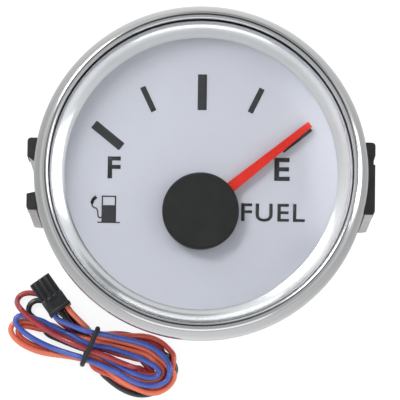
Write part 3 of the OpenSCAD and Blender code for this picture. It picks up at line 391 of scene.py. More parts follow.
# how far the strands reach in each direction
reach = [float((strands @ np.array([math.cos(a), math.sin(a)])).max()) for a in angles]
band = []
for k, a in enumerate(angles):
    out = reach[k] + WIRE_D / 2 + TIE_CORD / 2 + TIE_PLAY
    slope = (reach[(k + 1) % TIE_POINTS] - reach[k - 1]) / (2 * step)
    y = out * math.cos(a) - slope * math.sin(a)
    z = out * math.sin(a) + slope * math.cos(a)
    x = TIE_LEAN * math.sin(a) - y * math.sin(TIE_TURN)
    band.append((x, y * math.cos(TIE_TURN), max(z, TIE_CORD / 2)))
band = np.array(band)
for _ in range(3):
    band = 0.5 * band + 0.25 * (np.roll(band, 1, axis=0) + np.roll(band, -1, axis=0))
tie_cord = tube("tie_cord", in_model(band), TIE_CORD, TIE_ROUND, closed=True)
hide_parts("tie")
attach(tie_cord, "gauge")
print("tie:", np.round(band.min(axis=0), 2), "to", np.round(band.max(axis=0), 2))

# %% [markdown]
# ## Helpers for modelling as by hand
# Operators act on whatever is selected, so each step starts by clearing the selection. New
# primitives are made at their own place. A boolean cut is a modifier with a cutter that is
# thrown away once the cut is applied.

# %% Modelling helpers
def only(obj):
    bpy.ops.object.select_all(action="DESELECT")
    obj.select_set(True)
    bpy.context.view_layer.objects.active = obj


def apply_place(obj):
    only(obj)
    bpy.ops.object.transform_apply(location=True, rotation=True, scale=True)


def block(name, *sides):
    """A box, given where it begins and ends along x, y and z."""
    bpy.ops.object.select_all(action="DESELECT")
    bpy.ops.mesh.primitive_cube_add(size=1, location=[(a + b) / 2 * MM for a, b in sides])
    obj = bpy.context.object
    obj.name = name
    obj.scale = [(b - a) * MM for a, b in sides]
    apply_place(obj)
    return obj


def about(middle, half):
    return (middle - half, middle + half)


def rounded(obj, width):
    only(obj)
    mod = obj.modifiers.new("round", "BEVEL")
    mod.width = width * MM
    mod.segments = 2
    mod.limit_method = "ANGLE"
    bpy.ops.object.modifier_apply(modifier=mod.name)
    return obj


def cut(obj, cutters, operation="DIFFERENCE"):
    for cutter in cutters:
        only(obj)
        mod = obj.modifiers.new("cut", "BOOLEAN")
        mod.operation = operation
        mod.solver = "EXACT"
        mod.object = cutter
        bpy.ops.object.modifier_apply(modifier=mod.name)
        bpy.data.objects.remove(cutter, do_unlink=True)


def smooth_by_angle(obj):
    only(obj)
    bpy.ops.object.shade_smooth_by_angle(angle=math.radians(30))


def wear(obj, material):
    obj.data.materials.clear()
    obj.data.materials.append(material)


# %% [markdown]
# ## The plug
# The plug is a small two-row connector shell. Its front half has ribs with channels
# between them, which guide it into the socket, its rear half is plain and a little wider,
# and six square ways run through it. It is a rounded block, joined to a collar, a flange and
# three ribs, with the channels and ways cut out. It is made lying along x, its rear at zero,
# and then turned to where it lies.

# %% The plug's sizes
L, W, H = PLUG_SIZE
# the shell's front is this much smaller all round than the collar, and the flange larger
SKIN = 0.1
LEDGE = 0.12
COLLAR = (-3.3, -0.45)
FLANGE = (-0.75, 0)
RIBS = (-L + 0.2, -3.0)
RIB_PITCH = 1.25
RIB_HALF = 0.3
RIB_ROOT = 0.4
# cutters begin past the plug's front end
OUT = -L - 1
CHANNELS = (-1.78, -0.62, 0.62, 1.78)
CHANNEL_END, CHANNEL_HALF, CHANNEL_DEPTH = -3.55, 0.2, 0.55
SIDE_END, SIDE_HALF, SIDE_DEPTH = -3.9, 0.25, 0.35
LATCH = (-2.7, -1.25)
LATCH_HALF, LATCH_DEPTH = 0.85, 0.25
WAY_END, WAY_HALF = -0.4, 0.4
SHELL_ROUND, COLLAR_ROUND, RIB_ROUND = 0.12, 0.14, 0.08

# %% Make the plug
width, height = about(0, W / 2), about(0, H / 2)
plug_body = rounded(block("plug_shell", (-L, -SKIN), about(0, W / 2 - SKIN), about(0, H / 2 - SKIN)),
                    SHELL_ROUND)
added = [
    rounded(block("collar", COLLAR, width, height), COLLAR_ROUND),
    rounded(block("flange", FLANGE, about(0, W / 2 + LEDGE), (-H / 2, H / 2 + LEDGE)), SHELL_ROUND),
]
for place in (1, 0, -1):
    rib = block("rib", RIBS, about(place * RIB_PITCH, RIB_HALF), (H / 2 - RIB_ROOT, H / 2 + SKIN))
    added.append(rounded(rib, RIB_ROUND))
cut(plug_body, added, "UNION")
cutters = [block("channel", (OUT, CHANNEL_END), about(y, CHANNEL_HALF), (H / 2 - CHANNEL_DEPTH, H))
           for y in CHANNELS]
for side in (-1, 1):
    for row in (-1, 1):
        cutters.append(block("side_channel", (OUT, SIDE_END), about(side * W / 2, SIDE_DEPTH),
                             about(row * ROW_OFF, SIDE_HALF)))
cutters.append(block("latch_gap", LATCH, about(0, LATCH_HALF), (H / 2 - LATCH_DEPTH, H)))
for way in (-1, 0, 1):
    for row in (-1, 1):
        cutters.append(block("way", (OUT, WAY_END), about(way * WAY_PITCH, WAY_HALF),
                             about(row * ROW_OFF, WAY_HALF)))
cut(plug_body, cutters)
plug_place = (Matrix.Translation((HANK_MIDDLE[0] * MM, HANK_MIDDLE[1] * MM, 0))
              @ Matrix.Rotation(HANK_TURN, 4, "Z")
              @ Matrix.Translation((PLUG_REAR[0] * MM, PLUG_REAR[1] * MM, (PLUG_Z + H / 2) * MM))
              @ Matrix.Rotation(PLUG_TURN, 4, "Z"))
plug_body.data.transform(plug_place)
smooth_by_angle(plug_body)
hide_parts("plug")
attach(plug_body, "gauge")
print("plug:", len(plug_body.data.polygons), "faces")

# %% [markdown]
# Each wire is a free cord from its hole in the plug to its end under the tie. Its settled
# points are taken into the model's frame again.

# %% Cords
for name, obj in wires.items():
    points = in_model(settled[name])

# %% [markdown]
# ## Shared effects
# Several finishes need the same things: a fine grain, slow changes of tone, small scuffs,
# fine turned rings on what was made on a lathe, and fine lines on rolled or brushed sheet.
# Each is a node group, built once, that puts out values which change over the surface.

# %% Node helpers
def new_group(name, inputs, outputs):
    group = bpy.data.node_groups.new(name, "ShaderNodeTree")
    for label, kind, value in inputs:
        socket = group.interface.new_socket(label, in_out="INPUT", socket_type=kind)
        if value is not None:
            socket.default_value = value
    for label in outputs:
        group.interface.new_socket(label, in_out="OUTPUT", socket_type=FLOAT)
    return group, group.nodes.new("NodeGroupInput"), group.nodes.new("NodeGroupOutput")


def new_material(name):
    mat = bpy.data.materials.new(name)
    mat.use_nodes = True
    return mat, mat.node_tree, mat.node_tree.nodes["Principled BSDF"]


def set_inputs(node, values):
    for label, value in values.items():
        node.inputs[label].default_value = value


def feed(tree, socket, value):
    """Gives a socket what another one puts out, or a fixed value."""
    if isinstance(value, bpy.types.NodeSocket):
        tree.links.new(value, socket)
    else:
        socket.default_value = value


def math_node(tree, operation, *values):
    node = tree.nodes.new("ShaderNodeMath")
    node.operation = operation
    for socket, value in zip(node.inputs, values):
        feed(tree, socket, value)
    return node.outputs[0]


def plus(tree, a, b):
    return math_node(tree, "ADD", a, b)


def times(tree, a, b):
    return math_node(tree, "MULTIPLY", a, b)


def noise_node(tree, vector, scale, detail=3.0, rough=0.5):
    node = tree.nodes.new("ShaderNodeTexNoise")
    set_inputs(node, {"Detail": detail, "Roughness": rough})
    feed(tree, node.inputs["Vector"], vector)
    feed(tree, node.inputs["Scale"], scale)
    return node.outputs["Fac"]


def ramp_between(tree, value, low, high, to_low=0.0, to_high=1.0):
    """From to_low to to_high as the value goes from low to high, and level beyond."""
    node = tree.nodes.new("ShaderNodeMapRange")
    set_inputs(node, {"From Min": low, "From Max": high, "To Min": to_low, "To Max": to_high})
    tree.links.new(value, node.inputs["Value"])
    return node.outputs["Result"]


def mixed(tree, factor, first, second, blend="MIX"):
    """Two colours mixed. A mix node keeps its colours in its sockets 6, 7 and, coming out, 2."""
    node = tree.nodes.new("ShaderNodeMix")
    node.data_type = "RGBA"
    node.blend_type = blend
    for k, value in ((0, factor), (6, first), (7, second)):
        feed(tree, node.inputs[k], value)
    return node.outputs[2]


def object_place(tree):
    return tree.nodes.new("ShaderNodeTexCoord").outputs["Object"]


def axes_of(tree, vector):
    node = tree.nodes.new("ShaderNodeSeparateXYZ")
    tree.links.new(vector, node.inputs[0])
    return node.outputs


def squares(tree, axes):
    """The squares of x and y."""
    return [times(tree, axes[k], axes[k]) for k in ("X", "Y")]


# %% Grain, tone and scuffs
VECTOR, FLOAT = "NodeSocketVector", "NodeSocketFloat"
grain_group, grain_in, grain_out = new_group("moulded_grain", [
    ("Place", VECTOR, None), ("Grain per metre", FLOAT, 4000.0), ("Tone per metre", FLOAT, 120.0),
], ["Grain", "Tone", "Scuff"])
grain_place = grain_in.outputs["Place"]
grain_fine = noise_node(grain_group, grain_place, grain_in.outputs["Grain per metre"], 4.0, 0.6)
grain_tone = noise_node(grain_group, grain_place, grain_in.outputs["Tone per metre"], 3.0, 0.55)
SCUFF_STRETCH = (1.0, 3.2, 1.6)
SCUFF_TURN = (0.3, 0.2, 0.7)
SCUFF_PER_METRE = 480.0
scuff_place = grain_group.nodes.new("ShaderNodeMapping")
set_inputs(scuff_place, {"Scale": SCUFF_STRETCH, "Rotation": SCUFF_TURN})
grain_group.links.new(grain_place, scuff_place.inputs["Vector"])
scuff_noise = noise_node(grain_group, scuff_place.outputs[0], SCUFF_PER_METRE, 5.0, 0.65)
grain_group.links.new(grain_fine, grain_out.inputs["Grain"])
grain_group.links.new(grain_tone, grain_out.inputs["Tone"])
grain_group.links.new(ramp_between(grain_group, scuff_noise, 0.60, 0.72), grain_out.inputs["Scuff"])

# %% Turned rings, by distance from the gauge's axis
HEIGHT_SHARE = 0.7
BROAD_PER_METRE = 900.0
turned_group, turned_in, turned_out = new_group("turned_rings", [
    ("Place", VECTOR, None), ("Rings per metre", FLOAT, 5000.0),
], ["Lines", "Tone"])
axes = axes_of(turned_group, turned_in.outputs["Place"])
radius = math_node(turned_group, "SQRT", plus(turned_group, *squares(turned_group, axes)))
# a share of the height goes in, so that upright walls have rings too
radius = plus(turned_group, radius, times(turned_group, axes["Z"], HEIGHT_SHARE))
joined = turned_group.nodes.new("ShaderNodeCombineXYZ")
turned_group.links.new(radius, joined.inputs["X"])
fine_rings = noise_node(turned_group, joined.outputs[0], turned_in.outputs["Rings per metre"], 3.0, 0.6)
broad_rings = noise_node(turned_group, joined.outputs[0], BROAD_PER_METRE, 2.0)
turned_group.links.new(fine_rings, turned_out.inputs["Lines"])
turned_group.links.new(broad_rings, turned_out.inputs["Tone"])

# %% Brushed lines along one direction
SHEET_PER_METRE = 260.0
brushed_group, brushed_in, brushed_out = new_group("brushed_lines", [
    ("Place", VECTOR, None), ("Stretch", VECTOR, (60.0, 3000.0, 3000.0)),
], ["Lines", "Tone"])
brushed_place = brushed_in.outputs["Place"]
stretch = brushed_group.nodes.new("ShaderNodeMapping")
brushed_group.links.new(brushed_place, stretch.inputs["Vector"])
brushed_group.links.new(brushed_in.outputs["Stretch"], stretch.inputs["Scale"])
fine_lines = noise_node(brushed_group, stretch.outputs[0], 1.0, 3.0, 0.6)
sheet_tone = noise_node(brushed_group, brushed_place, SHEET_PER_METRE)
brushed_group.links.new(fine_lines, brushed_out.inputs["Lines"])
brushed_group.links.new(sheet_tone, brushed_out.inputs["Tone"])

# %% [markdown]
# ## One way to build a finish
# Every finish here has a base colour that drifts towards a second one, a roughness that
# wanders between two values, and a fine bump. What makes steel, rubber or enamel differ is
# which effect drives them and how strongly. Numbers that hold all over a surface are set on
# the shader's own sockets.

# %% The finish builder
SCUFF_SHARE = 0.35
BUMP_DEPTH = 0.00002
# where the fine noise mostly lies between
FINE_LOW, FINE_HIGH = 0.3, 0.7
TONE_LOW, TONE_HIGH = 0.35, 0.65


def grained(per_metre=4000, tone=120):
    return grain_group, {"Grain per metre": per_metre, "Tone per metre": tone}


def lathed(rings):
    return turned_group, {"Rings per metre": rings}


def brushed(*stretch):
    return brushed_group, {"Stretch": stretch}


def finish(name, colour, second, rough, effect, bump, bump_depth=BUMP_DEPTH, metallic=0.0,
           coat=0.0, scuff=None, more=None):
    group, settings = effect
    mat, tree, shader = new_material(name)
    node = tree.nodes.new("ShaderNodeGroup")
    node.node_tree = group
    tree.links.new(object_place(tree), node.inputs["Place"])
    set_inputs(node, settings)
    # the first thing that each group puts out is its fine pattern
    fine = node.outputs[0]
    drift = ramp_between(tree, node.outputs["Tone"], TONE_LOW, TONE_HIGH)
    base = mixed(tree, drift, (*colour, 1), (*second, 1))
    if scuff:
        base = mixed(tree, times(tree, node.outputs["Scuff"], SCUFF_SHARE), base, (*scuff, 1))
    tree.links.new(base, shader.inputs["Base Color"])
    tree.links.new(ramp_between(tree, fine, FINE_LOW, FINE_HIGH, *rough), shader.inputs["Roughness"])
    relief = tree.nodes.new("ShaderNodeBump")
    set_inputs(relief, {"Strength": bump, "Distance": bump_depth})
    tree.links.new(fine, relief.inputs["Height"])
    tree.links.new(relief.outputs[0], shader.inputs["Normal"])
    set_inputs(shader, {"Metallic": metallic, "Coat Weight": coat, **(more or {})})
    return mat


def dress(node, material):
    obj = nodes[node]
    if len(obj.material_slots) == 0:
        obj.data.materials.append(material)
    for slot in obj.material_slots:
        slot.material = material


# %% [markdown]
# ## Finishes of the gauge
# The bezel is polished stainless steel, its inner ring is bright turned metal, the dial is
# pale enamel on sheet, and everything behind is black moulded plastic, plated steel and
# rubber. Pale metal is kept a little below white, so that its highlights still stand out.

# %% Metals
bezel_steel = finish("bezel_steel", (0.50, 0.505, 0.51), (0.54, 0.545, 0.55), (0.10, 0.20),
                     lathed(9000), bump=0.03, metallic=1.0)
ring_silver = finish("ring_silver", (0.84, 0.845, 0.85), (0.90, 0.905, 0.91), (0.10, 0.20),
                     lathed(6000), bump=0.10, metallic=1.0)
turned_steel = finish("turned_steel", (0.55, 0.55, 0.56), (0.62, 0.62, 0.63), (0.22, 0.36),
                      brushed(3000, 3000, 200), bump=0.1, metallic=1.0)
plated_steel = finish("plated_steel", (0.52, 0.53, 0.55), (0.66, 0.66, 0.66), (0.24, 0.42),
                      grained(6000, 300), bump=0.08, metallic=1.0, scuff=(0.42, 0.41, 0.38))
bracket_steel = finish("bracket_steel", (0.56, 0.57, 0.58), (0.68, 0.68, 0.68), (0.26, 0.42),
                       brushed(80, 3000, 80), bump=0.12, metallic=1.0)
core_iron = finish("core_iron", (0.30, 0.30, 0.31), (0.40, 0.39, 0.38), (0.35, 0.5),
                   brushed(400, 400, 6000), bump=0.15, metallic=1.0)
copper_winding = finish("copper_winding", (0.50, 0.19, 0.07), (0.60, 0.26, 0.10), (0.22, 0.36),
                        brushed(500, 9000, 500), bump=0.5, bump_depth=0.00008, metallic=0.8)
tinned = finish("tinned_contact", (0.72, 0.66, 0.46), (0.80, 0.76, 0.60), (0.2, 0.35),
                grained(5000, 700), bump=0.06, metallic=1.0)
magnet_black = finish("magnet", (0.06, 0.06, 0.065), (0.09, 0.09, 0.09), (0.5, 0.65), grained(9000),
                      bump=0.2, metallic=0.6)

# %% Plastics, rubber and enamel
case_black = finish("case_black", (0.022, 0.022, 0.024), (0.032, 0.032, 0.034), (0.40, 0.58),
                    grained(3500, 150), bump=0.25, scuff=(0.10, 0.10, 0.10))
black_rubber = finish("black_rubber", (0.014, 0.014, 0.015), (0.024, 0.024, 0.024), (0.45, 0.7),
                      grained(2600, 400), bump=0.3, scuff=(0.06, 0.06, 0.06))
hub_black = finish("hub_black", (0.007, 0.0075, 0.0075), (0.012, 0.012, 0.012), (0.50, 0.66),
                   grained(5200, 260), bump=0.35, more={"Specular IOR Level": 0.25})
dial_face = finish("dial_face", (0.492, 0.500, 0.556), (0.512, 0.520, 0.576), (0.38, 0.5),
                   grained(6000, 40), bump=0.04)
dial_ink = finish("dial_ink", (0.012, 0.013, 0.015), (0.017, 0.018, 0.020), (0.45, 0.6),
                  grained(9000, 500), bump=0.08)
needle_red = finish("needle_red", (0.59, 0.017, 0.008), (0.66, 0.026, 0.012), (0.22, 0.32),
                    grained(5000, 200), bump=0.03, coat=0.3)
clear_guide = finish("clear_guide", (0.80, 0.84, 0.86), (0.84, 0.87, 0.88), (0.12, 0.2),
                     grained(3000), bump=0.05, more={"Transmission Weight": 0.6, "IOR": 1.49})
white_plastic = finish("white_plastic", (0.80, 0.80, 0.78), (0.84, 0.84, 0.82), (0.35, 0.5),
                       grained(4000), bump=0.1)
gear_plastic = finish("gear_plastic", (0.78, 0.77, 0.70), (0.83, 0.82, 0.76), (0.35, 0.5),
                      grained(4000), bump=0.1)
board_green = finish("board_green", (0.015, 0.14, 0.06), (0.02, 0.19, 0.085), (0.22, 0.34),
                     brushed(900, 250, 250), bump=0.15, coat=0.3)
capacitor_sleeve = finish("capacitor_sleeve", (0.02, 0.04, 0.12), (0.03, 0.05, 0.15), (0.25, 0.4),
                          grained(2500), bump=0.08, coat=0.3)
lamp_yellow = finish("lamp_yellow", (0.80, 0.66, 0.18), (0.86, 0.74, 0.28), (0.12, 0.22),
                     grained(3000), bump=0.04, coat=0.4)
ribbon_grey = finish("ribbon_grey", (0.42, 0.43, 0.45), (0.50, 0.51, 0.53), (0.4, 0.55),
                     brushed(4200, 100, 100), bump=0.4)
plug_black = finish("plug_black", (0.012, 0.013, 0.016), (0.020, 0.021, 0.025), (0.34, 0.5),
                    grained(4500, 300), bump=0.2, scuff=(0.07, 0.07, 0.08))

# %% [markdown]
# ## Glass
# Real glass lets light through to the dial. A renderer that follows light backwards would
# leave the dial in the glass's shadow, so the shader lets shadow rays pass straight through.

# %% The glass
SMEAR_ROUGH = 0.03
CLEAR = (0.97, 0.985, 0.99, 1)
glass, tree, shader = new_material("lens_glass")
set_inputs(shader, {"Base Color": CLEAR, "Transmission Weight": 1.0, "IOR": 1.5})
film = tree.nodes.new("ShaderNodeGroup")
film.node_tree = grain_group
tree.links.new(object_place(tree), film.inputs["Place"])
smear = ramp_between(tree, film.outputs["Scuff"], 0, 1, 0, SMEAR_ROUGH)
tree.links.new(smear, shader.inputs["Roughness"])
clear = tree.nodes.new("ShaderNodeBsdfTransparent")
choice = tree.nodes.new("ShaderNodeMixShader")
tree.links.new(tree.nodes.new("ShaderNodeLightPath").outputs["Is Shadow Ray"], choice.inputs["Fac"])
tree.links.new(shader.outputs[0], choice.inputs[1])
tree.links.new(clear.outputs[0], choice.inputs[2])
tree.links.new(choice.outputs[0], tree.nodes["Material Output"].inputs["Surface"])

# %% Dress the solids that keep their own shape
DRESSES = (
    (glass, "lens"),
    (black_rubber, "lens_seal panel_gasket cover_seal left_foot right_foot"),
    (dial_face, "dial_plate"),
    (dial_ink, "scale_marks"),
    (clear_guide, "light_guide"),
    (white_plastic, "light_ring"),
    (needle_red, "needle"),
    (hub_black, "hub_cap"),
    (turned_steel, "spindle gear_pins"),
    (gear_plastic, "output_wheel intermediate_wheel"),
    (case_black, "rotor_pinion motor_base motor_cover control_chip small_parts case rear_cover "
                 "socket_housing"),
    (magnet_black, "rotor_magnet"),
    (core_iron, "stator_core"),
    (copper_winding, "left_coil right_coil"),
    (tinned, "motor_pins socket_pins plug_contacts"),
    (board_green, "circuit_board socket_board"),
    (capacitor_sleeve, "capacitor"),
    (lamp_yellow, "lamps"),
    (plated_steel, "board_screws cover_screws studs socket_screws stud_washers left_nut "
                   "right_nut"),
    (ribbon_grey, "lead_ribbon"),
    (bracket_steel, "bracket"),
)
for material, names in DRESSES:
    for node in names.split():
        dress(node, material)
print("dressed solids:", sum(len(names.split()) for _, names in DRESSES))

# %% [markdown]
# ## Finishes of the wires
# Thin flexible insulation is satin vinyl: even in colour, a little darker where it was
# pressed, with a soft sheen and hardly any grain.

# %% Wire insulation
INKS = {
    "crimson": ((0.40, 0.040, 0.050), (0.49, 0.058, 0.070)),
    "black": ((0.016, 0.017, 0.020), (0.028, 0.029, 0.033)),
    "salmon": ((0.72, 0.105, 0.070), (0.80, 0.130, 0.085)),
    "blue": ((0.058, 0.115, 0.47), (0.082, 0.150, 0.56)),
    "orange": ((0.86, 0.175, 0.090), (0.92, 0.215, 0.115)),
}
for name, (tone, lighter) in INKS.items():
    vinyl = finish(name + "_insulation", tone, lighter, (0.22, 0.32), grained(3000, 220),
                   bump=0.06, coat=0.3)
    wires[name].data.materials.append(vinyl)
tie_cord.data.materials.append(black_rubber)
wear(plug_body, plug_black)

# %% [markdown]
# ## The bezel
# A bezel is spun from thin sheet over a former: a straight skirt at the side, a quarter-round
# shoulder up to a narrow crest, and an inner lip rolled over the glass. The solid has that
# section in a few flats, and flats show at once in polished metal. So the same section is
# drawn with many points and spun round the axis.

# %% Spun shapes
WELD = 0.000001
SPIN_STEPS = 240


def profile_ring(name, section):
    """A closed section of (radius, height) points in millimetres, spun round the z axis."""
    mesh = bpy.data.meshes.new(name)
    obj = add_object(name, mesh)
    count = len(section)
    mesh.from_pydata([(r * MM, 0, z * MM) for r, z in section],
                     [(k, (k + 1) % count) for k in range(count)], [])
    only(obj)
    bpy.ops.object.mode_set(mode="EDIT")
    bpy.ops.mesh.select_all(action="SELECT")
    bpy.ops.mesh.spin(steps=SPIN_STEPS, angle=2 * math.pi, center=(0, 0, 0), axis=(0, 0, 1))
    bpy.ops.mesh.select_all(action="SELECT")
    bpy.ops.mesh.remove_doubles(threshold=WELD)
    bpy.ops.mesh.normals_make_consistent(inside=False)
    bpy.ops.object.mode_set(mode="OBJECT")
    smooth_by_angle(obj)
    return obj


def arc(middle, radii, start, end, steps):
    """Points of an elliptical arc, angles in degrees from the radius outwards."""
    out = []
    for k in range(steps + 1):
        a = math.radians(start + (end - start) * k / steps)
        out.append((middle[0] + radii[0] * math.cos(a), middle[1] + radii[1] * math.sin(a)))
    return out


# %% Make the bezel
BEZEL_R, CREST_R, OPEN_R = 31.0, 28.9, 28.2
FRONT, SHOULDER, REAR = 57.0, 52.5, 48.5
# height of the rolled lip, rounding of the rear edge, and the sheet's thickness there
LIP = 0.48
EDGE = 0.15
SHEET = 0.5
INSIDE_R = 30.3
GLASS_TOP = FRONT - 0.75
# the inside: from the edge of the glass, down beside it and out to the skirt
INSIDE = [(29.5, GLASS_TOP), (29.55, 54.65), (INSIDE_R, 54.3)]

bezel_section = [(CREST_R, REAR)]
bezel_section += arc((BEZEL_R - EDGE, REAR + EDGE), (EDGE, EDGE), -90, 0, 4)
bezel_section += arc((CREST_R, SHOULDER), (BEZEL_R - CREST_R, FRONT - SHOULDER), 0, 90, 36)
bezel_section += arc((CREST_R, FRONT - LIP), (OPEN_R - CREST_R, LIP), 90, 0, 12)[1:]
bezel_section += [(OPEN_R, GLASS_TOP)] + INSIDE + [(INSIDE_R, REAR + SHEET), (CREST_R, REAR + SHEET)]
bezel_shell = profile_ring("bezel_shell", bezel_section)
wear(bezel_shell, bezel_steel)
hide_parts("bezel")
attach(bezel_shell, "gauge")
print("bezel:", len(bezel_shell.data.polygons), "faces")

# %% [markdown]
# ## The inner ring
# Between glass and dial sits a bright dished ring. The solid is a plain cone. A real one is
# hollow: it rises slowly from the dial and ends in an upright wall below the glass, which is
# why it mirrors the studio's walls in bands. Its section is a small foot on the dial, a
# hollow slope, the wall and a flat rim, spun like the bezel.

# %% Make the inner ring
DIAL_TOP = 50.6
SLOPE_START, SLOPE_END = (25.34, 50.75), (27.75, 52.05)
SAG = 0.16
DIAGONAL = 0.7
SLOPE_STEPS = 24
FOOT = [(25.5, DIAL_TOP), (25.36, 50.64)]
WALL = [(27.95, 52.4), (28.0, 52.9), (28.02, 54.0), (28.1, 54.1)]
RIM = [(29.95, 54.1), (29.95, 53.3), (28.95, 53.2), (26.75, DIAL_TOP)]


def hollow(start, end, sag, steps):
    """A line from start to end that sags by that much at its middle, to its lower right."""
    out = []
    for k in range(steps + 1):
        t = k / steps
        dip = sag * 4 * t * (1 - t) * DIAGONAL
        out.append((start[0] + (end[0] - start[0]) * t + dip, start[1] + (end[1] - start[1]) * t - dip))
    return out


ring_section = FOOT + hollow(SLOPE_START, SLOPE_END, SAG, SLOPE_STEPS) + WALL + RIM
ring_shell = profile_ring("ring_shell", ring_section)
wear(ring_shell, ring_silver)
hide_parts("inner_ring")
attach(ring_shell, "gauge")
print("inner ring:", len(ring_shell.data.polygons), "faces")

# %% [markdown]
# ## Letters and the pump sign
# The dial is printed with E for empty, F for full, the word FUEL and a small pump sign. They
# are plain print, so each is a flat outline given the thickness of ink. The letters are the
# built-in plain face, stretched to size. The pump is drawn from bars and a bent hose.

# %% Print on the dial
INK = 0.05
PRINT_WELD = 0.000002


def raise_ink(obj):
    only(obj)
    bpy.ops.object.mode_set(mode="EDIT")
    bpy.ops.mesh.select_all(action="SELECT")
    bpy.ops.mesh.remove_doubles(threshold=PRINT_WELD)
    bpy.ops.mesh.normals_make_consistent(inside=False)
    bpy.ops.mesh.extrude_region_move(TRANSFORM_OT_translate={"value": (0, 0, INK * MM)})
    bpy.ops.mesh.select_all(action="SELECT")
    bpy.ops.mesh.normals_make_consistent(inside=False)
    bpy.ops.object.mode_set(mode="OBJECT")


def printed(obj, name):
    raise_ink(obj)
    obj.name = name
    wear(obj, dial_ink)
    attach(obj, "gauge")


def letters(name, body, middle, size, weight, spacing=1.0):
    """Text stretched to a size in millimetres, its middle at a place on the dial."""
    bpy.ops.object.select_all(action="DESELECT")
    bpy.ops.object.text_add(location=(0, 0, 0))
    obj = bpy.context.object
    obj.data.body = body
    obj.data.offset = weight
    obj.data.space_character = spacing
    bpy.ops.object.convert(target="MESH")
    obj = bpy.context.object
    co = np.array([v.co[:] for v in obj.data.vertices])
    low, high = co.min(axis=0), co.max(axis=0)
    for v in obj.data.vertices:
        for k in (0, 1):
            off = (v.co[k] - (low[k] + high[k]) / 2) / (high[k] - low[k]) * size[k]
            v.co[k] = (middle[k] + off) * MM
        v.co[2] = DIAL_TOP * MM
    printed(obj, name)


letters("letter_full", "F", (-16.15, 0.85), (2.4, 4.1), 0.022)
letters("letter_empty", "E", (15.0, 0.95), (2.85, 4.3), 0.022)
letters("word_fuel", "FUEL", (13.45, -7.15), (11.8, 3.35), 0.012, 1.12)


# %% The pump sign
def strip(name, points, width):
    """A flat ribbon of one width along a line, in millimetres on the dial."""
    p = [Vector((x, y, 0)) for x, y in points]
    left, right = [], []
    for k, q in enumerate(p):
        along = (p[min(k + 1, len(p) - 1)] - p[max(k - 1, 0)]).normalized()
        side = Vector((-along.y, along.x, 0)) * width / 2
        left.append(q + side)
        right.append(q - side)
    mesh = bpy.data.meshes.new(name)
    mesh.from_pydata([(v.x * MM, v.y * MM, DIAL_TOP * MM) for v in left + right], [],
                     [(k, k + len(p), k + len(p) + 1, k + 1) for k in range(len(p) - 1)])
    printed(add_object(name, mesh), name)


# the pump's middle on the dial, and its strokes' points from there and widths
PUMP = (-17.0, -6.95)
HOSE = [(-1.3, -1.5), (-1.75, -1.6), (-2.0, -1.2), (-2.05, -0.5), (-2.3, 0.1), (-2.8, 0.3),
        (-3.1, 0.7), (-3.15, 1.3), (-2.9, 1.8), (-2.5, 2.15)]
hose = curve_through([(x, y, 0) for x, y in HOSE[:1] + HOSE + HOSE[-1:]], 5)
STROKES = {
    "pump_body": ([(0, -2.35), (0, 0.75)], 2.7),
    "pump_left": ([(-1.22, 0.75), (-1.22, 2.4)], 0.26),
    "pump_right": ([(1.22, 0.75), (1.22, 2.4)], 0.26),
    "pump_top": ([(-1.35, 2.4), (1.35, 2.4)], 0.26),
    "pump_foot": ([(-2.1, -2.45), (2.1, -2.45)], 0.24),
    "pump_hose": ([(x, y) for x, y, _ in hose], 0.24),
    "pump_nozzle": ([(-3.2, 1.0), (-2.95, 1.75), (-2.35, 2.3)], 0.62),
}
for name, (points, width) in STROKES.items():
    strip(name, [(PUMP[0] + x, PUMP[1] + y) for x, y in points], width)

# %% [markdown]
# ## Floor and light
# The gauge stands on plain white, lit as in a small studio. A key lamp at the upper left
# throws the needle's shadow to the lower right, weak lamps stand at the right, in front and
# behind, and narrow beams brighten the dial's right edge. Pale walls with dark bands are what
# polished metal needs to look like metal. The white of the floor comes from its own colour
# for the camera and for what reflects it, and it still takes the soft shadows.

# %% The floor
FLOOR_SIZE = 3
FLOOR_DROP = 0.0002
PAPER = (0.32, 0.32, 0.32, 1)
PAPER_GLOW = 0.82
# in reflections the paper is brighter before and behind the gauge than beside it
MIRRORED_LEAST, MIRRORED_MORE = 0.30, 0.45
# keeps the division sound at the gauge's axis
LEAST_SQUARE = 0.0005

bpy.ops.object.select_all(action="DESELECT")
bpy.ops.mesh.primitive_plane_add(size=FLOOR_SIZE, location=(0, 0, -FLOOR_DROP))
floor = bpy.context.object
floor.name = "studio_floor"
apply_place(floor)
paper, tree, shader = new_material("white_paper")
set_inputs(shader, {"Base Color": PAPER, "Roughness": 0.9, "Specular IOR Level": 0.0})
rays = tree.nodes.new("ShaderNodeLightPath").outputs
seen = plus(tree, rays["Is Camera Ray"], rays["Is Transmission Ray"])
plain = times(tree, math_node(tree, "MINIMUM", seen, 1.0), PAPER_GLOW)
x2, y2 = squares(tree, axes_of(tree, object_place(tree)))
along = math_node(tree, "DIVIDE", y2, plus(tree, plus(tree, x2, y2), LEAST_SQUARE))
level = plus(tree, times(tree, along, MIRRORED_MORE), MIRRORED_LEAST)
glow = tree.nodes.new("ShaderNodeEmission")
tree.links.new(plus(tree, plain, times(tree, rays["Is Glossy Ray"], level)), glow.inputs["Strength"])
both = tree.nodes.new("ShaderNodeAddShader")
tree.links.new(shader.outputs[0], both.inputs[0])
tree.links.new(glow.outputs[0], both.inputs[1])
tree.links.new(both.outputs[0], tree.nodes["Material Output"].inputs["Surface"])
floor.data.materials.append(paper)

# %% The walls round it
# the walls' grey by the height of the direction, from the horizon at 0 to overhead at 1
BLUISH = 1.01
WALL_ENDS = (0.85, 0.70)
WALL_GREYS = ((0.30, 1.0), (0.55, 0.95), (0.70, 0.72), (0.82, 0.70), (0.92, 0.74))
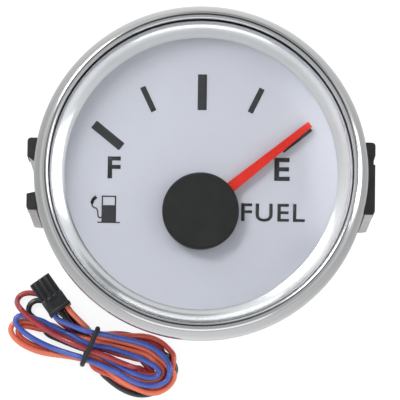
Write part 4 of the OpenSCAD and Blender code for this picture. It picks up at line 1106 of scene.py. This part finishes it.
# a dark wall towards the upper edge of the dial, a little to the right, in two bands: the
# lower one shows in the inner ring, the upper one in the bezel's crest. Each begins where
# its first pair says, the lower one ends where its second pair says, and the last pair says
# how squarely a direction faces the wall. A dark patch overhead is what the flat glass shows
DARK_FACING = (0.34, 0.94)
LOW_BAND = ((0.30, 0.38), (0.62, 0.56), (0.84, 0.93))
LOW_DARK = 0.72
HIGH_BAND = ((0.76, 0.80), (0.55, 0.80))
HIGH_DARK = 0.92
OVERHEAD_FACING = (0.104, 0.9946)
OVERHEAD = (0.991, 0.996)
# the near side is a little less bright than the sides
NEAR_SIDE = (-0.3, -0.9)
NEAR_DARK = 0.10
# keeps the divisions sound straight overhead
LEAST_LEVEL = 0.001

world = bpy.data.worlds.new("studio")
bpy.context.scene.world = world
world.use_nodes = True
tree = world.node_tree
towards = axes_of(tree, tree.nodes.new("ShaderNodeTexCoord").outputs["Generated"])
across, deep, height = towards["X"], towards["Y"], towards["Z"]
ramp = tree.nodes.new("ShaderNodeValToRGB")
tree.links.new(height, ramp.inputs["Fac"])
stops = ramp.color_ramp.elements
for k, grey in enumerate(WALL_ENDS):
    stops[k].position = k
    stops[k].color = (grey, grey, grey, 1)
for position, grey in WALL_GREYS:
    stops.new(position).color = (grey, grey, grey * BLUISH, 1)
level = plus(tree, math_node(tree, "SQRT", plus(tree, *squares(tree, towards))), LEAST_LEVEL)
facing = plus(tree, times(tree, across, DARK_FACING[0]), times(tree, deep, DARK_FACING[1]))
facing = math_node(tree, "DIVIDE", facing, level)
low = times(tree, ramp_between(tree, height, *LOW_BAND[0]), ramp_between(tree, height, *LOW_BAND[1]))
low = times(tree, low, ramp_between(tree, facing, *LOW_BAND[2]))
high = times(tree, ramp_between(tree, height, *HIGH_BAND[0]), ramp_between(tree, facing, *HIGH_BAND[1]))
above = plus(tree, times(tree, deep, OVERHEAD_FACING[0]), times(tree, height, OVERHEAD_FACING[1]))
above = ramp_between(tree, above, *OVERHEAD)
dark = math_node(tree, "MAXIMUM", times(tree, high, HIGH_DARK), times(tree, above, HIGH_DARK))
dark = math_node(tree, "MAXIMUM", times(tree, low, LOW_DARK), dark)
near = ramp_between(tree, math_node(tree, "DIVIDE", deep, level), *NEAR_SIDE)
dim = math_node(tree, "SUBTRACT", 1.0, times(tree, near, NEAR_DARK))
dim = times(tree, dim, math_node(tree, "SUBTRACT", 1.0, dark))
shade = mixed(tree, 1.0, ramp.outputs["Color"], dim, "MULTIPLY")
# the camera itself sees plain white
is_camera = tree.nodes.new("ShaderNodeLightPath").outputs["Is Camera Ray"]
background = tree.nodes["Background"]
tree.links.new(mixed(tree, is_camera, shade, (1, 1, 1, 1)), background.inputs["Color"])
background.inputs["Strength"].default_value = 1.0


# %% Lamps
LAMP_AIM = (0, 0, 0.05)
BEAM_PLACE = (0.12, 0.02, 0.36)
BEAM_WIDTH = math.radians(2.0)
BEAM_SIZE = 0.002
# where each beam meets the dial's edge, in degrees from the right, and its power
BEAMS = ((38, 0.55), (24, 0.85), (10, 0.95), (-4, 0.75), (-18, 0.45))
DIAL_EDGE = 25


def aimed(data, place, aim):
    obj = add_object(data.name, data)
    obj.location = place
    obj.rotation_euler = (Vector(aim) - Vector(place)).to_track_quat("-Z", "Y").to_euler()
    return obj


def lamp(name, place, size, power):
    data = bpy.data.lights.new(name, "AREA")
    data.shape = "RECTANGLE"
    data.size, data.size_y = size
    data.energy = power
    return aimed(data, place, LAMP_AIM)


lamp("key_above", (-0.36, 0.38, 0.58), (0.20, 0.20), 2.1)
lamp("fill_right", (0.42, 0.05, 0.30), (0.25, 0.35), 0.7)
lamp("fill_front", (0.0, -0.8, 0.35), (0.9, 0.3), 0.8)
fill_back = lamp("fill_back", (0.0, 0.8, 0.35), (0.9, 0.3), 0.8)
# its edge would show in the flat glass
fill_back.visible_glossy = False
# light gathered by the ring on the right edge of the dial
for k, (turn, power) in enumerate(BEAMS):
    beam = bpy.data.lights.new("edge_glow_%d" % k, "SPOT")
    beam.energy = power
    beam.spot_size = BEAM_WIDTH
    beam.spot_blend = 1.0
    beam.shadow_soft_size = BEAM_SIZE
    a = math.radians(turn)
    aimed(beam, BEAM_PLACE, (DIAL_EDGE * MM * math.cos(a), DIAL_EDGE * MM * math.sin(a), DIAL_TOP * MM))
